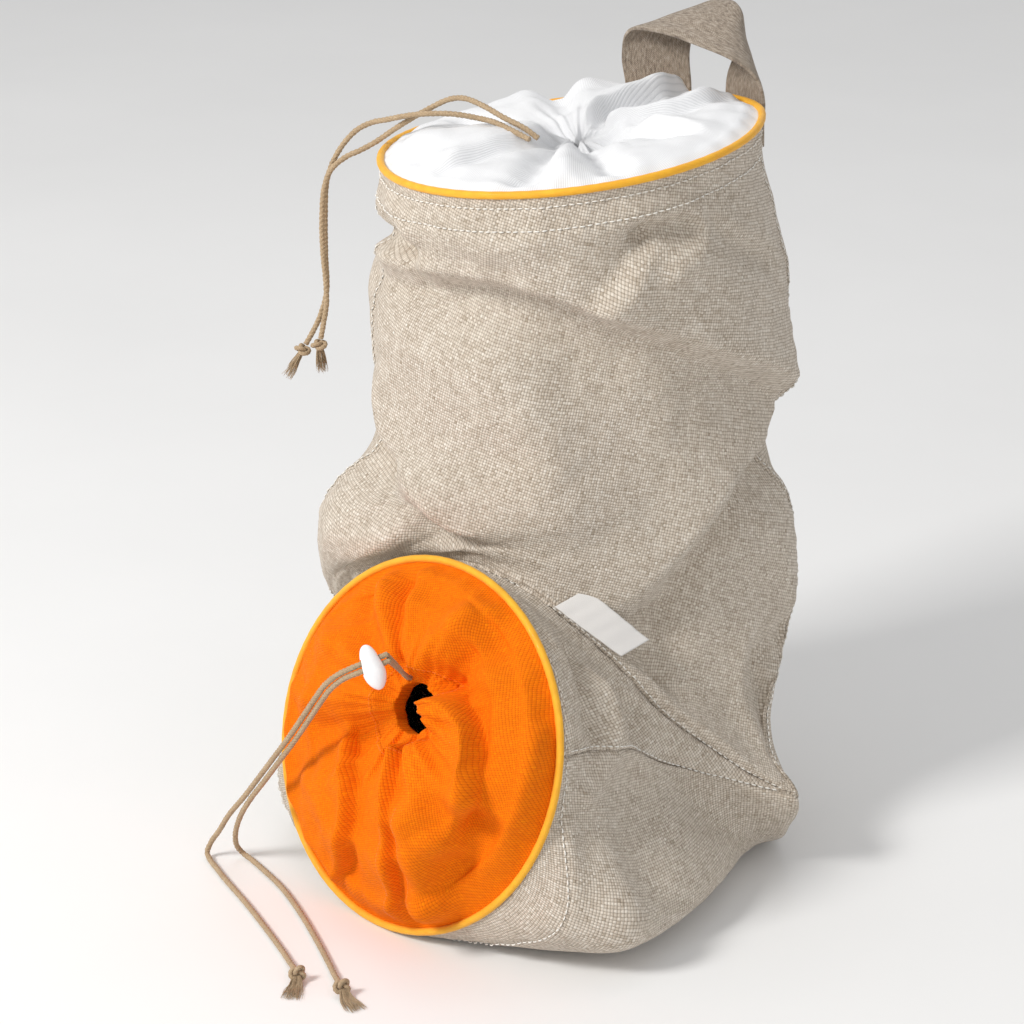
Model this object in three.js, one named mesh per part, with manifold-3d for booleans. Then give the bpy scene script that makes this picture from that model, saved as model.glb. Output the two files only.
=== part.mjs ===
// A potato storage bag of linen canvas, standing on its base with its lower spout to the front (-Y).
// Units are millimetres, +Z is up and the bag rests on the plane z = 0.
// The cloth is a bent sleeve: it starts at the round top rim, hangs down to the seam above the
// spout and bends forward to the round spout rim. That seam goes on round the back, where it joins the
// back to the base. Folds stand out of the sleeve or press into it.
import * as THREE from 'three';
import Module from 'manifold-3d';

const wasm = await Module();
wasm.setup();

// Driving sizes
const CLOTH = 1.2;            // thickness of the linen canvas
const SEAM_CLOTH = 1.0;       // the canvas is pressed thinner where it is sewn at its sides
const COVER_CLOTH = 1.2;      // thickness of the two gathered covers
const SEAM_GAP = 0.25;        // each panel stops this far short of a seam line
const BASE_GAP = 0.35;        // and a little further short of the seam between the back and the base
const RIM_GAP = 0.7;          // and the cloth a little more behind the spout piping
const LEFT_ROUND = 0.57;      // the left side, behind the spout, is rounder than the right
const LEFT_HIP = 0.7;         // its hip is this much of the right one, and it has no ear
const LEFT_FORWARD = 24.0;    // its lower corner lies this much further forward
const LEFT_CORNER = 0.9;      // and turns under this much more gently
const PIPING_RADIUS = 2.0;
const PIECE_GAP = 0.35;       // between pieces that touch, and from the piping to the cloth
const NECK_SPAN = 0.15;       // how far t runs on into the turned-in neck of a gathered cover
const TWINE_DIAMETER = 3.1;
const STRAP_WIDTH = 39.0;
const STRAP_THICKNESS = 2.0;
const LABEL_HEIGHT = 20.0;
const LABEL_THICKNESS = 1.2;  // two layers of woven ribbon
const LABEL_LIFT = [1.8, 5.6];  // it stands a little off the cloth, more at its right end
const LABEL_PHI = [66.5, 49]; // from its left end to its right end along the spout seam
const LABEL_TOP = 0.93;       // its upper edge points at this station
const KNOT = { ring: 2.5, tube: 1.3, core: 2.3 };
const STRANDS = 6;            // strands in each frayed cord end
const STRAND_WIDTH = 1.0;
const LOCK_SIZE = { long: 24, wide: 11.5, thick: 9 };
const LOCK_SLOT = { long: 7.6, thick: 4.0 };

// The sleeve's own axes have their zero below the middle of the top rim. These move the whole bag
// so that the origin is on the floor, about 2 mm from the middle of the box around the bag.
const SHIFT_X = -7.5;
const SHIFT_Y = 34.6;
const FLOOR = -2.9;           // height of the floor in the sleeve's axes

const rad = THREE.MathUtils.degToRad;
const vec = (x, y, z) => new THREE.Vector3(x, y, z);
const clamp = THREE.MathUtils.clamp;
const lerp = THREE.MathUtils.lerp;
const soften = (t) => t * t * (3 - 2 * t);

// Stations of the sleeve. v runs from 0 at the top rim over 1 at the spout seam to 2 at the spout rim.
// Each section has a centre, a half width across its two side points, the turn and tilt of that width,
// the reach of its front with pitch and shape, the reach and drop of its back, an ear at each side point
// and a hip that widens the lower corners. phase turns the side points along the outline.
const SECTION_COLUMNS = ['v', 'ox', 'oy', 'oz', 'half', 'turn', 'tilt', 'phase', 'ear',
  'front', 'frontPitch', 'frontK', 'frontM', 'back', 'backM', 'drop', 'dropK', 'hip'];
const SECTIONS = [
  [0, -15.2, 10.2, 383.1, 100, 44, 7.1, 8, 0, 100, 0, 2, 0.5, 92, 0.5, 7, 2, 0],
  [0.06, -15.4, 10.1, 364, 100.5, 44, 7.1, 8, 0, 100, 0, 2, 0.5, 92, 0.5, 7, 2, 0],
  [0.15, -12, 13, 334, 104, 44, 6, 8, 0, 97, 3, 2, 0.5, 93, 0.5, 4, 2, 0],
  [0.25, -12, 13, 300, 112, 44, 4.5, 8, 0, 92, 6, 2, 0.5, 93, 0.5, 1, 2, 0],
  [0.4, -10, 14, 250, 110, 44, 3, 8, 0, 93, 13, 2, 0.5, 92, 0.5, 3, 2, 0],
  [0.52, -14, 11, 212, 108, 43, 2, 8, 0, 96, 19, 2, 0.5, 92, 0.5, 5, 2, 0],
  [0.65, -19, 6, 168, 125, 41, 1, 6, 0, 104, 26, 2, 0.58, 88, 0.5, 9, 2, 0],
  [0.78, -19, 6, 128, 131, 36, 0, 4, 0, 113, 35, 2, 0.75, 88, 0.5, 15, 2, 0],
  [0.9, -15, 4, 86, 125, 20, 0, 0, 0, 130, 47, 2.2, 1.15, 90, 0.52, 26, 2.2, 0],
  [0.95, -8, 6, 66, 118, 10, 0, 0, 9, 141, 52, 2.3, 1.25, 91, 0.57, 36, 2.7, 0],
  [1, 0, 8, 52, 122, 4, 0, 0, 25, 148, 54.4, 2.4, 1.3, 90, 0.8, 56, 4.5, 4],
  [1.05, 1, 2, 54, 117, 3, 0, 0, 17, 141, 55.5, 2.4, 1.1, 82, 0.8, 60, 6, 17],
  [1.12, 2, -8, 59, 110, 2, 0, 1, 9, 131, 58, 2.3, 0.95, 74, 0.75, 65, 6, 20],
  [1.25, 5, -35, 72, 100, 0, 0, 4, 0, 111, 63, 2.2, 0.75, 68, 0.65, 79, 5, 36],
  [1.5, 10, -71, 88, 96, 0, 0, 8, 0, 91, 76, 2, 0.55, 23, 0.55, 95, 5, 54],
  [1.75, 12, -106, 89, 96, 0, 0, 12, 0, 91, 95, 2, 0.5, -8, 0.5, 97, 4.2, 58],
  [1.92, 13.3, -126.5, 89.8, 97, 0, 0, 14, 0, 95, 106, 2, 0.5, -26, 0.5, 97, 2.6, 32],
  [2, 13.7, -134.6, 90.4, 97, 0, 0, 15, 0, 97, 110, 2, 0.5, -33.2, 0.5, 91.1, 2, 0],
];

// Folds of the linen: how far the cloth stands out on the left and right hand of a path (walked over
// the outside), how wide each side fades, how sharp the step is, how it fades in and out, and the path
// itself as [phi, v] places. phi is 0 at the right seam, 90 in front, 180 at the left seam, 270 behind.
const FOLD_COLUMNS = ['left', 'leftWide', 'right', 'rightWide', 'edge', 'fadeIn', 'fadeOut', 'path'];
const GIRTH_STEP = 1.9;       // mm of cloth for each degree of phi
const DROP_STEP = 330.0;      // mm of cloth from the top rim to the spout seam
const SPOUT_STEP = 150.0;     // mm of cloth from the spout seam to the spout rim, at its side
const FOLDS = [
  [8, 30, -9, 30, 4, 0.1, 0.06,
    [[192, 0.165], [149, 0.165], [131, 0.17], [117, 0.178], [99, 0.205], [82, 0.245], [64, 0.295],
      [44, 0.35], [20, 0.4], [-3, 0.44]]],
  [-9, 26, -9, 34, 6, 0.25, 0.3,
    [[150, 0.19], [125, 0.22], [100, 0.285], [75, 0.38], [50, 0.45], [20, 0.47]]],
  [3, 14, -5, 10, 3, 0.2, 0.2,
    [[172, 0.06], [159, 0.08], [155, 0.115], [148, 0.165]]],
  [-13, 9, -13, 9, 5, 0.1, 0.4,
    [[205, 0.13], [185, 0.12], [168, 0.115], [150, 0.12]]],
  [4, 18, 4, 18, 5, 0.2, 0.3,
    [[205, 0.2], [185, 0.195], [165, 0.175]]],
  [6, 26, -13, 24, 4, 0.12, 0.3,
    [[180, 0.38], [172, 0.475], [149, 0.57], [130, 0.655], [118, 0.73], [104, 0.8]]],
  [7, 26, 7, 26, 8, 0.3, 0.3,
    [[190, 0.55], [165, 0.68], [150, 0.75], [128, 0.8]]],
  [-14, 20, 6, 24, 4, 0.12, 0.2,
    [[-6, 0.44], [2, 0.515], [31, 0.61], [46, 0.72], [53, 0.81], [55, 0.9]]],
  [5, 22, 5, 22, 8, 0.3, 0.3,
    [[-8, 0.58], [8, 0.68], [14, 0.78]]],
  [-8, 12, 4, 14, 3, 0.2, 0.2,
    [[3, 0.81], [12, 0.825], [20, 0.845], [24, 0.865], [23, 0.89], [17, 0.915], [8, 0.93]]],
  [-13, 20, -13, 20, 8, 0.3, 0.3,
    [[-44, 0.83], [-24, 0.86], [-8, 0.885]]],
  [3, 12, -10, 13, 3, 0.25, 0.3,
    [[72, 0.085], [65, 0.08], [56, 0.08], [50, 0.088], [44, 0.105]]],
  [5, 8, 5, 8, 3, 0.2, 0.4,
    [[44, 0.1], [48, 0.13], [54, 0.155], [63, 0.165]]],
  [2, 10, -6, 12, 3, 0.2, 0.4,
    [[42, 0.1], [36, 0.125], [28, 0.16], [12, 0.2]]],
  [4, 16, -5, 14, 4, 0.2, 0.4,
    [[64, 0.085], [70, 0.12], [77, 0.165], [86, 0.2]]],
  [5, 22, 5, 22, 8, 0.4, 0.4,
    [[88, 0.22], [62, 0.205], [36, 0.22]]],
  [3, 12, 1, 14, 6, 0.4, 0.3,
    [[122, 0.1], [95, 0.08], [70, 0.078]]],
  [-4, 12, -4, 12, 4, 0.3, 0.4,
    [[148, 0.1], [127, 0.125], [108, 0.15]]],
  [5, 20, 5, 20, 8, 0.3, 0.4,
    [[125, 0.3], [112, 0.4], [95, 0.57], [84, 0.76]]],
  [-5, 26, -5, 26, 8, 0.3, 0.4,
    [[97, 0.33], [84, 0.455], [66, 0.6], [60, 0.74]]],
  [-6, 9, -6, 9, 4, 0.3, 0.2,
    [[53, 0.88], [48, 0.92], [45, 0.98]]],
  [-6, 9, -6, 9, 4, 0.3, 0.3,
    [[45, 1.4], [38, 1.47], [22, 1.61], [13, 1.64], [4, 1.71]]],
  [5, 8, 5, 8, 3, 0.3, 0.2,
    [[30, 1.4], [20, 1.44], [11, 1.485], [1, 1.57], [-8, 1.68], [-14, 1.8]]],
  [-6, 11, -6, 11, 4, 0.3, 0.3,
    [[34, 1.24], [21, 1.32], [12, 1.36], [4, 1.42]]],
  [3, 7, 3, 7, 3, 0.1, 0.3,
    [[-12, 1.78], [-20, 1.88], [-34, 1.94], [-50, 1.955]]],
  [3, 12, 3, 12, 5, 0.3, 0.3,
    [[-12, 1.68], [-24, 1.77], [-38, 1.78]]],
  [-3, 14, -3, 14, 5, 0.3, 0.3,
    [[-8, 1.45], [-25, 1.62], [-42, 1.62]]],
  [-4, 8, -4, 8, 4, 0.3, 0.3,
    [[40, 1.12], [25, 1.08], [10, 1.06]]],
  [6, 24, -7, 26, 6, 0.3, 0.3,
    [[330, 0.38], [300, 0.33], [270, 0.28], [235, 0.26], [212, 0.22]]],
  [6, 26, -5, 26, 8, 0.3, 0.3,
    [[215, 0.5], [245, 0.6], [275, 0.72], [300, 0.85]]],
  [-5, 22, 4, 24, 8, 0.3, 0.3,
    [[335, 0.52], [315, 0.62], [298, 0.74]]],
];

const asRow = (columns, row) => Object.fromEntries(columns.map((name, i) => [name, row[i]]));
const foldRows = FOLDS.map((row) => asRow(FOLD_COLUMNS, row));

// Slopes of a smooth curve through the sections that never overshoots them.
function rowTangents() {
  const count = SECTIONS.length;
  return SECTION_COLUMNS.map((_, column) => {
    const h = [];
    const slope = [];
    for (let i = 0; i < count - 1; i++) {
      h.push(SECTIONS[i + 1][0] - SECTIONS[i][0]);
      slope.push((SECTIONS[i + 1][column] - SECTIONS[i][column]) / h[i]);
    }
    const tangent = new Array(count).fill(0);
    for (let i = 1; i < count - 1; i++) {
      if (slope[i - 1] * slope[i] > 0) {
        const w1 = 2 * h[i] + h[i - 1];
        const w2 = h[i] + 2 * h[i - 1];
        tangent[i] = (w1 + w2) / (w1 / slope[i - 1] + w2 / slope[i]);
      }
    }
    tangent[0] = slope[0];
    tangent[count - 1] = slope[count - 2];
    return tangent;
  });
}
const TANGENTS = rowTangents();

function section(v) {
  const last = SECTIONS.length - 2;
  let i = 0;
  while (i < last && SECTIONS[i + 1][0] <= v) i++;
  const h = SECTIONS[i + 1][0] - SECTIONS[i][0];
  const t = (v - SECTIONS[i][0]) / h;
  const values = SECTION_COLUMNS.map((_, k) =>
    (2 * t ** 3 - 3 * t ** 2 + 1) * SECTIONS[i][k] + (t ** 3 - 2 * t ** 2 + t) * h * TANGENTS[k][i]
    + (3 * t ** 2 - 2 * t ** 3) * SECTIONS[i + 1][k] + (t ** 3 - t ** 2) * h * TANGENTS[k][i + 1]);
  return asRow(SECTION_COLUMNS, values);
}

// Steps of a fold are never steeper than the grid of the panel can follow.
const PANEL_STEP = 9.0;
const COVER_STEP = 5.0;

// The cloth lies flat where it would pass through the floor, with a soft bend beside it.
function layOnFloor(z, softness) {
  const above = z - FLOOR + softness / 6;
  return FLOOR + Math.max(0, 0.5 * (above + Math.hypot(above, softness)) - softness / 6);
}

// A point of the plain sleeve, before its folds.
function sleeve(phi, v) {
  const r = section(clamp(v, 0, 2));
  const p = rad(phi) + rad(r.phase) * Math.cos(rad(phi));
  const c = Math.cos(p);
  const a = Math.abs(c);
  const turn = rad(r.turn);
  const tilt = rad(r.tilt);
  const side = vec(Math.cos(turn) * Math.cos(tilt), Math.sin(turn) * Math.cos(tilt), Math.sin(tilt));
  const fore = vec(Math.sin(turn), -Math.cos(turn), 0);
  const leftHand = soften(clamp(-2 * c - 0.5, 0, 1));
  const frontM = lerp(r.frontM, Math.min(r.frontM, LEFT_ROUND), leftHand);
  const ear = r.ear * (1 - leftHand);
  let across = r.half * c + ear * a ** 8 * Math.sign(c);
  let forward;
  let lift;
  if (Math.sin(p) >= 0) {
    const profile = Math.max(0, 1 - a ** r.frontK) ** frontM;
    forward = r.front * Math.cos(rad(r.frontPitch)) * profile;
    lift = r.front * Math.sin(rad(r.frontPitch)) * profile;
  } else {
    forward = -r.back * Math.max(0, 1 - a * a) ** r.backM;
    const leftCorner = leftHand * soften(clamp((1.75 - v) / 0.5, 0, 1));
    lift = -r.drop * Math.max(0, 1 - a ** r.dropK) ** lerp(0.5, LEFT_CORNER, leftCorner);
    const hip = r.hip * lerp(1, LEFT_HIP, leftHand);
    across += hip * a ** 4 * (1 - a * a) / 0.148 * Math.sign(c);
  }
  const q = vec(r.ox, r.oy, r.oz).addScaledVector(side, across).addScaledVector(fore, forward);
  const fromSeam = (v - 1) / (v < 1 ? 0.1 : 0.35);
  q.y -= LEFT_FORWARD * leftHand * Math.exp(-(fromSeam ** 2));
  q.z = layOnFloor(q.z + lift, 3.0 * clamp((2 - v) / 0.1, 0.01, 1));
  return q;
}

// Flat coordinates on the cloth, right and up as seen from outside.
function flatPlace(phi, v) {
  const down = v <= 1 ? DROP_STEP * v : DROP_STEP + SPOUT_STEP * (v - 1);
  return [-GIRTH_STEP * phi, -down];
}

// A smooth line through flat places, with the distance walked at each of its points.
function pathLine(places) {
  const curve = new THREE.CatmullRomCurve3(places.map(([x, y]) => vec(x, y, 0)), false, 'centripetal');
  const line = curve.getPoints((places.length - 1) * 5);
  const run = [0];
  for (let i = 1; i < line.length; i++) run.push(run[i - 1] + line[i].distanceTo(line[i - 1]));
  return { line, run };
}
const FOLD_LINES = foldRows.map((fold) => pathLine(fold.path.map(([phi, v]) => flatPlace(phi, v))));

function oneFold(fold, { line, run }, x, y, softest) {
  const reach = 3 * Math.max(fold.leftWide, fold.rightWide);
  const total = run[run.length - 1];
  let best = reach;
  let signed = null;
  let along = 0;
  for (let i = 0; i < line.length - 1; i++) {
    const dx = line[i + 1].x - line[i].x;
    const dy = line[i + 1].y - line[i].y;
    const length = run[i + 1] - run[i];
    const low = i === 0 ? -9 : 0;
    const high = i === line.length - 2 ? 9 : 1;
    const t = clamp(((x - line[i].x) * dx + (y - line[i].y) * dy) / length ** 2, low, high);
    const ex = x - line[i].x - t * dx;
    const ey = y - line[i].y - t * dy;
    const d = Math.hypot(ex, ey);
    if (d < best) {
      best = d;
      signed = dx * ey - dy * ex >= 0 ? d : -d;
      along = (run[i] + t * length) / total;
    }
  }
  if (signed === null) return 0;
  const blend = soften(clamp(0.5 + 0.5 * signed / Math.max(fold.edge, softest), 0, 1));
  const onLeft = fold.left * Math.exp(-((Math.max(signed, 0) / fold.leftWide) ** 2));
  const onRight = fold.right * Math.exp(-((Math.min(signed, 0) / fold.rightWide) ** 2));
  const start = soften(clamp((along + fold.fadeIn * 0.5) / fold.fadeIn, 0, 1));
  const stop = soften(clamp((1 + fold.fadeOut * 0.5 - along) / fold.fadeOut, 0, 1));
  return start * stop * (blend * onLeft + (1 - blend) * onRight);
}

function foldHeight(phi, v) {
  let sum = 0;
  for (const turn of [-360, 0, 360]) {
    const [x, y] = flatPlace(phi + turn, v);
    foldRows.forEach((fold, i) => { sum += oneFold(fold, FOLD_LINES[i], x, y, PANEL_STEP); });
  }
  return sum;
}

const FACING_STEP = [1.6, 0.025];   // steps in phi and v over which the facing of the cloth is taken
function outward(pointAt, a, b, stepA, stepB) {
  const da = pointAt(a + stepA, b).sub(pointAt(a - stepA, b));
  const db = pointAt(a, b + stepB).sub(pointAt(a, b - stepB));
  return da.cross(db).normalize();
}

// A point on the outside of the folded linen. Both rims stay round.
function cloth(phi, v) {
  const q = sleeve(phi, v);
  const rimHold = soften(clamp(Math.min(v / 0.07, (2 - v) / 0.10), 0, 1));
  q.addScaledVector(outward(sleeve, phi, v, 1.0, 0.008), foldHeight(phi, v) * rimHold);
  q.z = Math.max(FLOOR, q.z);
  return q;
}

// Closed solid of a sheet: an outer and an inner grid of points with walls along the open edges.
function sheetSolid(outer, inner, wrap) {
  const rows = outer.length;
  const columns = outer[0].length;
  const positions = [];
  for (const p of [outer, inner].flat(2)) positions.push(p.x, p.y, p.z);
  const at = (layer, j, i) => layer * rows * columns + j * columns + (wrap ? i % columns : i);
  const index = [];
  const quad = (a, b, c, d) => index.push(a, b, c, a, c, d);
  const spans = wrap ? columns : columns - 1;
  for (let j = 0; j < rows - 1; j++) {
    for (let i = 0; i < spans; i++) {
      quad(at(0, j, i), at(0, j, i + 1), at(0, j + 1, i + 1), at(0, j + 1, i));
      quad(at(1, j, i), at(1, j + 1, i), at(1, j + 1, i + 1), at(1, j, i + 1));
    }
  }
  for (let i = 0; i < spans; i++) {
    quad(at(0, 0, i), at(1, 0, i), at(1, 0, i + 1), at(0, 0, i + 1));
    quad(at(0, rows - 1, i), at(0, rows - 1, i + 1), at(1, rows - 1, i + 1), at(1, rows - 1, i));
  }
  if (!wrap) {
    for (let j = 0; j < rows - 1; j++) {
      quad(at(0, j, 0), at(0, j + 1, 0), at(1, j + 1, 0), at(1, j, 0));
      const end = columns - 1;
      quad(at(0, j, end), at(1, j, end), at(1, j + 1, end), at(0, j + 1, end));
    }
  }
  const geometry = new THREE.BufferGeometry();
  geometry.setAttribute('position', new THREE.Float32BufferAttribute(positions, 3));
  geometry.setIndex(index);
  return geometry;
}

// The smooth surface turns a lot between two points of a coarse grid where it bends tightly. There each
// facing leans to the face around it that it sees least, so that the sheet never passes through itself.
const LEAN_PASSES = 24;
const LEAST_SEEN = 0.45;      // cosine of the widest angle from a facing to a face around it
function leanToFaces(outer, facing, wrap, keepEdges, side) {
  const rows = outer.length;
  const columns = outer[0].length;
  const column = (i) => (wrap ? (i + columns) % columns : i);
  const inGrid = ([j, i]) => j >= 0 && j < rows && (wrap || (i >= 0 && i < columns));
  const around = [[[0, 0], [0, 1], [1, 1]], [[0, 0], [1, 1], [1, 0]], [[0, -1], [0, 0], [1, 0]],
    [[-1, -1], [-1, 0], [0, 0]], [[-1, -1], [0, 0], [0, -1]], [[-1, 0], [0, 1], [0, 0]]];
  for (let j = 0; j < rows; j++) {
    for (let i = 0; i < columns; i++) {
      const edge = j === 0 || j === rows - 1 || (!wrap && (i === 0 || i === columns - 1));
      if (edge && keepEdges) continue;
      const placed = around.map((face) => face.map(([dj, di]) => [j + dj, i + di]));
      const faces = placed.filter((face) => face.every(inGrid));
      const normals = faces.map((face) => {
        const [a, b, c] = face.map(([row, place]) => outer[row][column(place)]);
        return b.clone().sub(a).cross(c.clone().sub(a)).normalize().multiplyScalar(side);
      });
      for (let pass = 0; pass < LEAN_PASSES; pass++) {
        const seen = normals.map((n) => n.dot(facing[j][i]));
        const least = Math.min(...seen);
        if (least >= LEAST_SEEN) break;
        facing[j][i].addScaledVector(normals[seen.indexOf(least)], 0.25).normalize();
      }
    }
  }
}

// The inner side of a sheet. Where a bend is so tight that a cell of it would turn over, the facing of
// its corners is evened out with their neighbours. Rows and columns on a seam keep theirs.
const EVENING_PASSES = 60;
const EVENEST = 0.08;         // an inner cell keeps at least this share of its outer one
function innerSide(outer, facing, thickness, wrap, keepEdges, side) {
  leanToFaces(outer, facing, wrap, keepEdges, side);
  const rows = outer.length;
  const columns = outer[0].length;
  const column = (i) => (wrap ? (i + columns) % columns : clamp(i, 0, columns - 1));
  const inSet = (p, j, i) => p.clone().addScaledVector(facing[j][i], -thickness(i));
  const inner = outer.map((row, j) => row.map((p, i) => inSet(p, j, i)));
  const turned = (corners) => {
    const [n, m] = [outer, inner].map((grid) => {
      const [a, b, c] = corners.map(([j, i]) => grid[j][column(i)]);
      return b.clone().sub(a).cross(c.clone().sub(a));
    });
    return n.dot(m) <= EVENEST * n.length() * n.length();
  };
  for (let pass = 0; pass < EVENING_PASSES; pass++) {
    const marked = new Set();
    for (let j = 0; j < rows - 1; j++) {
      for (let i = 0; i < (wrap ? columns : columns - 1); i++) {
        const halves = [[[j, i], [j, i + 1], [j + 1, i + 1]], [[j, i], [j + 1, i + 1], [j + 1, i]]];
        if (halves.some(turned)) {
          for (const [row, place] of halves.flat()) marked.add(row * columns + column(place));
        }
      }
    }
    if (marked.size === 0) break;
    const old = facing.map((row) => row.map((n) => n.clone()));
    for (const k of marked) {
      const j = Math.floor(k / columns);
      const i = k % columns;
      const edge = j === 0 || j === rows - 1 || (!wrap && (i === 0 || i === columns - 1));
      if (edge && keepEdges) continue;
      const n = old[j][i].clone();
      for (const [dj, di] of [[-1, 0], [1, 0], [0, -1], [0, 1]]) {
        n.add(old[clamp(j + dj, 0, rows - 1)][column(i + di)]);
      }
      facing[j][i] = n.normalize();
      inner[j][i] = inSet(outer[j][i], j, i);
    }
  }
  return inner;
}

// How far a parameter must move from a seam for the cloth to be a given length away from it.
function stepAway(pointAt, length, largest) {
  const seam = pointAt(0);
  let low = 0;
  let high = largest;
  for (let i = 0; i < 14; i++) {
    const middle = (low + high) / 2;
    if (pointAt(middle).distanceTo(seam) < length) low = middle;
    else high = middle;
  }
  return high;
}

// The seam above the spout dips a little on its right hand side.
const SEAM_DIP = 0.12;
const spoutSeam = (phi) =>
  1 + SEAM_DIP * soften(clamp(phi / 35, 0, 1)) * soften(clamp((150 - phi) / 60, 0, 1));

// Rows of stations from the top rim to the seam above the spout, and on to the spout rim. Panels that
// share a seam have the same stations or the same columns along it.
const BODY_ROWS = 26;
const SPOUT_ROWS = 10;
const FRONT_COLUMNS = 26;
const BACK_COLUMNS = 18;
const bodyRows = (phi) => Array.from({ length: BODY_ROWS + 1 }, (_, j) => spoutSeam(phi) * j / BODY_ROWS);
const spoutRows = (phi) =>
  Array.from({ length: SPOUT_ROWS + 1 }, (_, j) => lerp(spoutSeam(phi), 2, j / SPOUT_ROWS));

// The facing on a seam lies between that of the smooth cloth and the one that halves the angle of the
// two sides, a cell of the grid away on each. It depends on the place alone, so the panels that meet
// there share it.
const SEAM_STEP = { phi: 7, before: 0.04, after: 0.1 };
function seamFacing(phi, v) {
  const p = cloth(phi, v);
  const onSpoutSeam = Math.abs(v - spoutSeam(phi)) < 1e-6;
  const beside = (d) => {
    const turned = (phi + d + 360) % 360;
    return cloth(turned, onSpoutSeam ? spoutSeam(turned) : v);
  };
  const halved = (before, after) =>
    after.sub(p).normalize().add(p.clone().sub(before).normalize());
  const across = halved(beside(-SEAM_STEP.phi), beside(SEAM_STEP.phi));
  const along = halved(cloth(phi, v - SEAM_STEP.before), cloth(phi, v + SEAM_STEP.after));
  const smooth = outward(cloth, phi, v, ...FACING_STEP);
  return across.cross(along).normalize().add(smooth).normalize();
}

// One panel of the linen between two seams in phi and two seams along it.
function panel(phiStart, phiEnd, columns, rowsAt, startGap, endGap) {
  const outer = [];
  const facing = [];
  const stations = [];
  const seams = [];
  for (let i = 0; i <= columns; i++) {
    const phi = lerp(phiStart, phiEnd, i / columns);
    const rows = rowsAt(phi);
    const first = rows[0];
    const last = rows[rows.length - 1];
    const low = first + stepAway((s) => cloth(phi, first + s), startGap, 0.5);
    const high = last - stepAway((s) => cloth(phi, last - s), endGap, 0.5);
    // The side columns keep the stations of the panel across the seam. The others spread evenly.
    const spread = (v) => lerp(low, high, (v - first) / (last - first));
    stations.push(rows.map((v) => (i % columns === 0 ? clamp(v, low, high) : spread(v))));
    seams.push([first, last]);
  }
  const lastRow = stations[0].length - 1;
  for (let j = 0; j <= lastRow; j++) {
    const vSide = stations[0][j];
    const phiLow = phiStart + stepAway((s) => cloth(phiStart + s, vSide), SEAM_GAP, 6);
    const phiHigh = phiEnd - stepAway((s) => cloth(phiEnd - s, vSide), SEAM_GAP, 6);
    outer.push([]);
    facing.push([]);
    for (let i = 0; i <= columns; i++) {
      const v = stations[i][j];
      const phi = clamp(lerp(phiStart, phiEnd, i / columns), phiLow, phiHigh);
      outer[j].push(cloth(phi, v));
      const phiSeam = i % columns === 0 ? lerp(phiStart, phiEnd, i / columns) : phi;
      const vSeam = j % lastRow === 0 ? seams[i][j / lastRow] : v;
      const onSeam = (phiSeam % 180 === 0 || vSeam !== v) && vSeam > 0 && vSeam < 2;
      facing[j].push(onSeam ? seamFacing(phiSeam, vSeam) : outward(cloth, phiSeam, vSeam, ...FACING_STEP));
    }
  }
  const thickness = (i) => lerp(SEAM_CLOTH, CLOTH, clamp((Math.min(i, columns - i) - 1) / 2, 0, 1));
  return sheetSolid(outer, innerSide(outer, facing, thickness, false, true, 1), false);
}

// Gathered covers. Each spans its rim and is drawn in to a small mouth. A place on it is [a, b] in
// millimetres in the plane of the rim, a to the right and b away from the viewer or up.
const TOP_COVER = {
  station: 0,
  centre: vec(-15.2, 10.2, 383.1),
  normal: vec(-0.089, -0.085, 0.992),
  right: vec(0.719, 0.695, 0),
  mouth: [3.5, -3],
  mouthRadius: 4.5,
  neckDepth: 7,
  pleats: 7,
  pleatHeight: 2.2,
  // t from the rim to the mouth, height of the far side, height of the near side
  profile: [[0, 0, 0], [0.1, 6, 3], [0.25, 10, 5], [0.5, 8.5, 4.5], [0.75, 3, 2], [0.9, -1.5, -1],
    [1, -4, -4]],
};
const SPOUT_COVER = {
  station: 2,
  centre: vec(13.7, -134.6, 90.4),
  normal: vec(-0.011, -0.94, 0.342),
  right: vec(1, 0, 0),
  mouth: [13, 24],
  mouthRadius: 13.5,
  neckDepth: 9,
  pleats: 9,
  pleatHeight: 1.3,
  profile: [[0, 0, 0], [0.15, 10, 18], [0.4, 20, 33], [0.7, 24, 36], [1, 23, 25]],
};
// Their folds, in the same columns as the folds of the linen, with paths of [a, b] places.
const TOP_COVER_FOLDS = [
  [-7, 11, -7, 9, 5, 0.3, 0.3, [[3, 4], [-3, 40], [-8, 88]]],
  [4, 14, 4, 16, 6, 0.3, 0.4, [[-5, 8], [-14, 45], [-22, 84]]],
  [4, 14, 4, 16, 6, 0.3, 0.4, [[3, 6], [8, 45], [14, 86]]],
  [6, 16, -5, 12, 3, 0.2, 0.3, [[8, 8], [30, 28], [46, 42], [68, 64]]],
  [4, 12, -3, 10, 3, 0.3, 0.4, [[9, 4], [35, 0], [60, 4], [84, 22]]],
  [3, 12, -5, 14, 5, 0.4, 0.4, [[10, -2], [38, -14], [62, -38]]],
  [-6, 7, -6, 8, 4, 0.3, 0.2, [[6, -6], [12, -45], [22, -86]]],
  [5, 8, 5, 8, 5, 0.3, 0.3, [[1, -8], [-3, -45], [-4, -88]]],
  [-6, 8, -6, 8, 4, 0.3, 0.2, [[-3, -9], [-15, -48], [-27, -84]]],
  [-3, 6, 4, 14, 5, 0.4, 0.4, [[-5, -4], [-34, -28], [-66, -52]]],
  [5, 18, 5, 16, 8, 0.4, 0.4, [[-10, -2], [-50, -10], [-86, -10]]],
  [-5, 8, -5, 8, 4, 0.3, 0.4, [[-4, 0], [-24, 12], [-60, 38]]],
];
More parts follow.
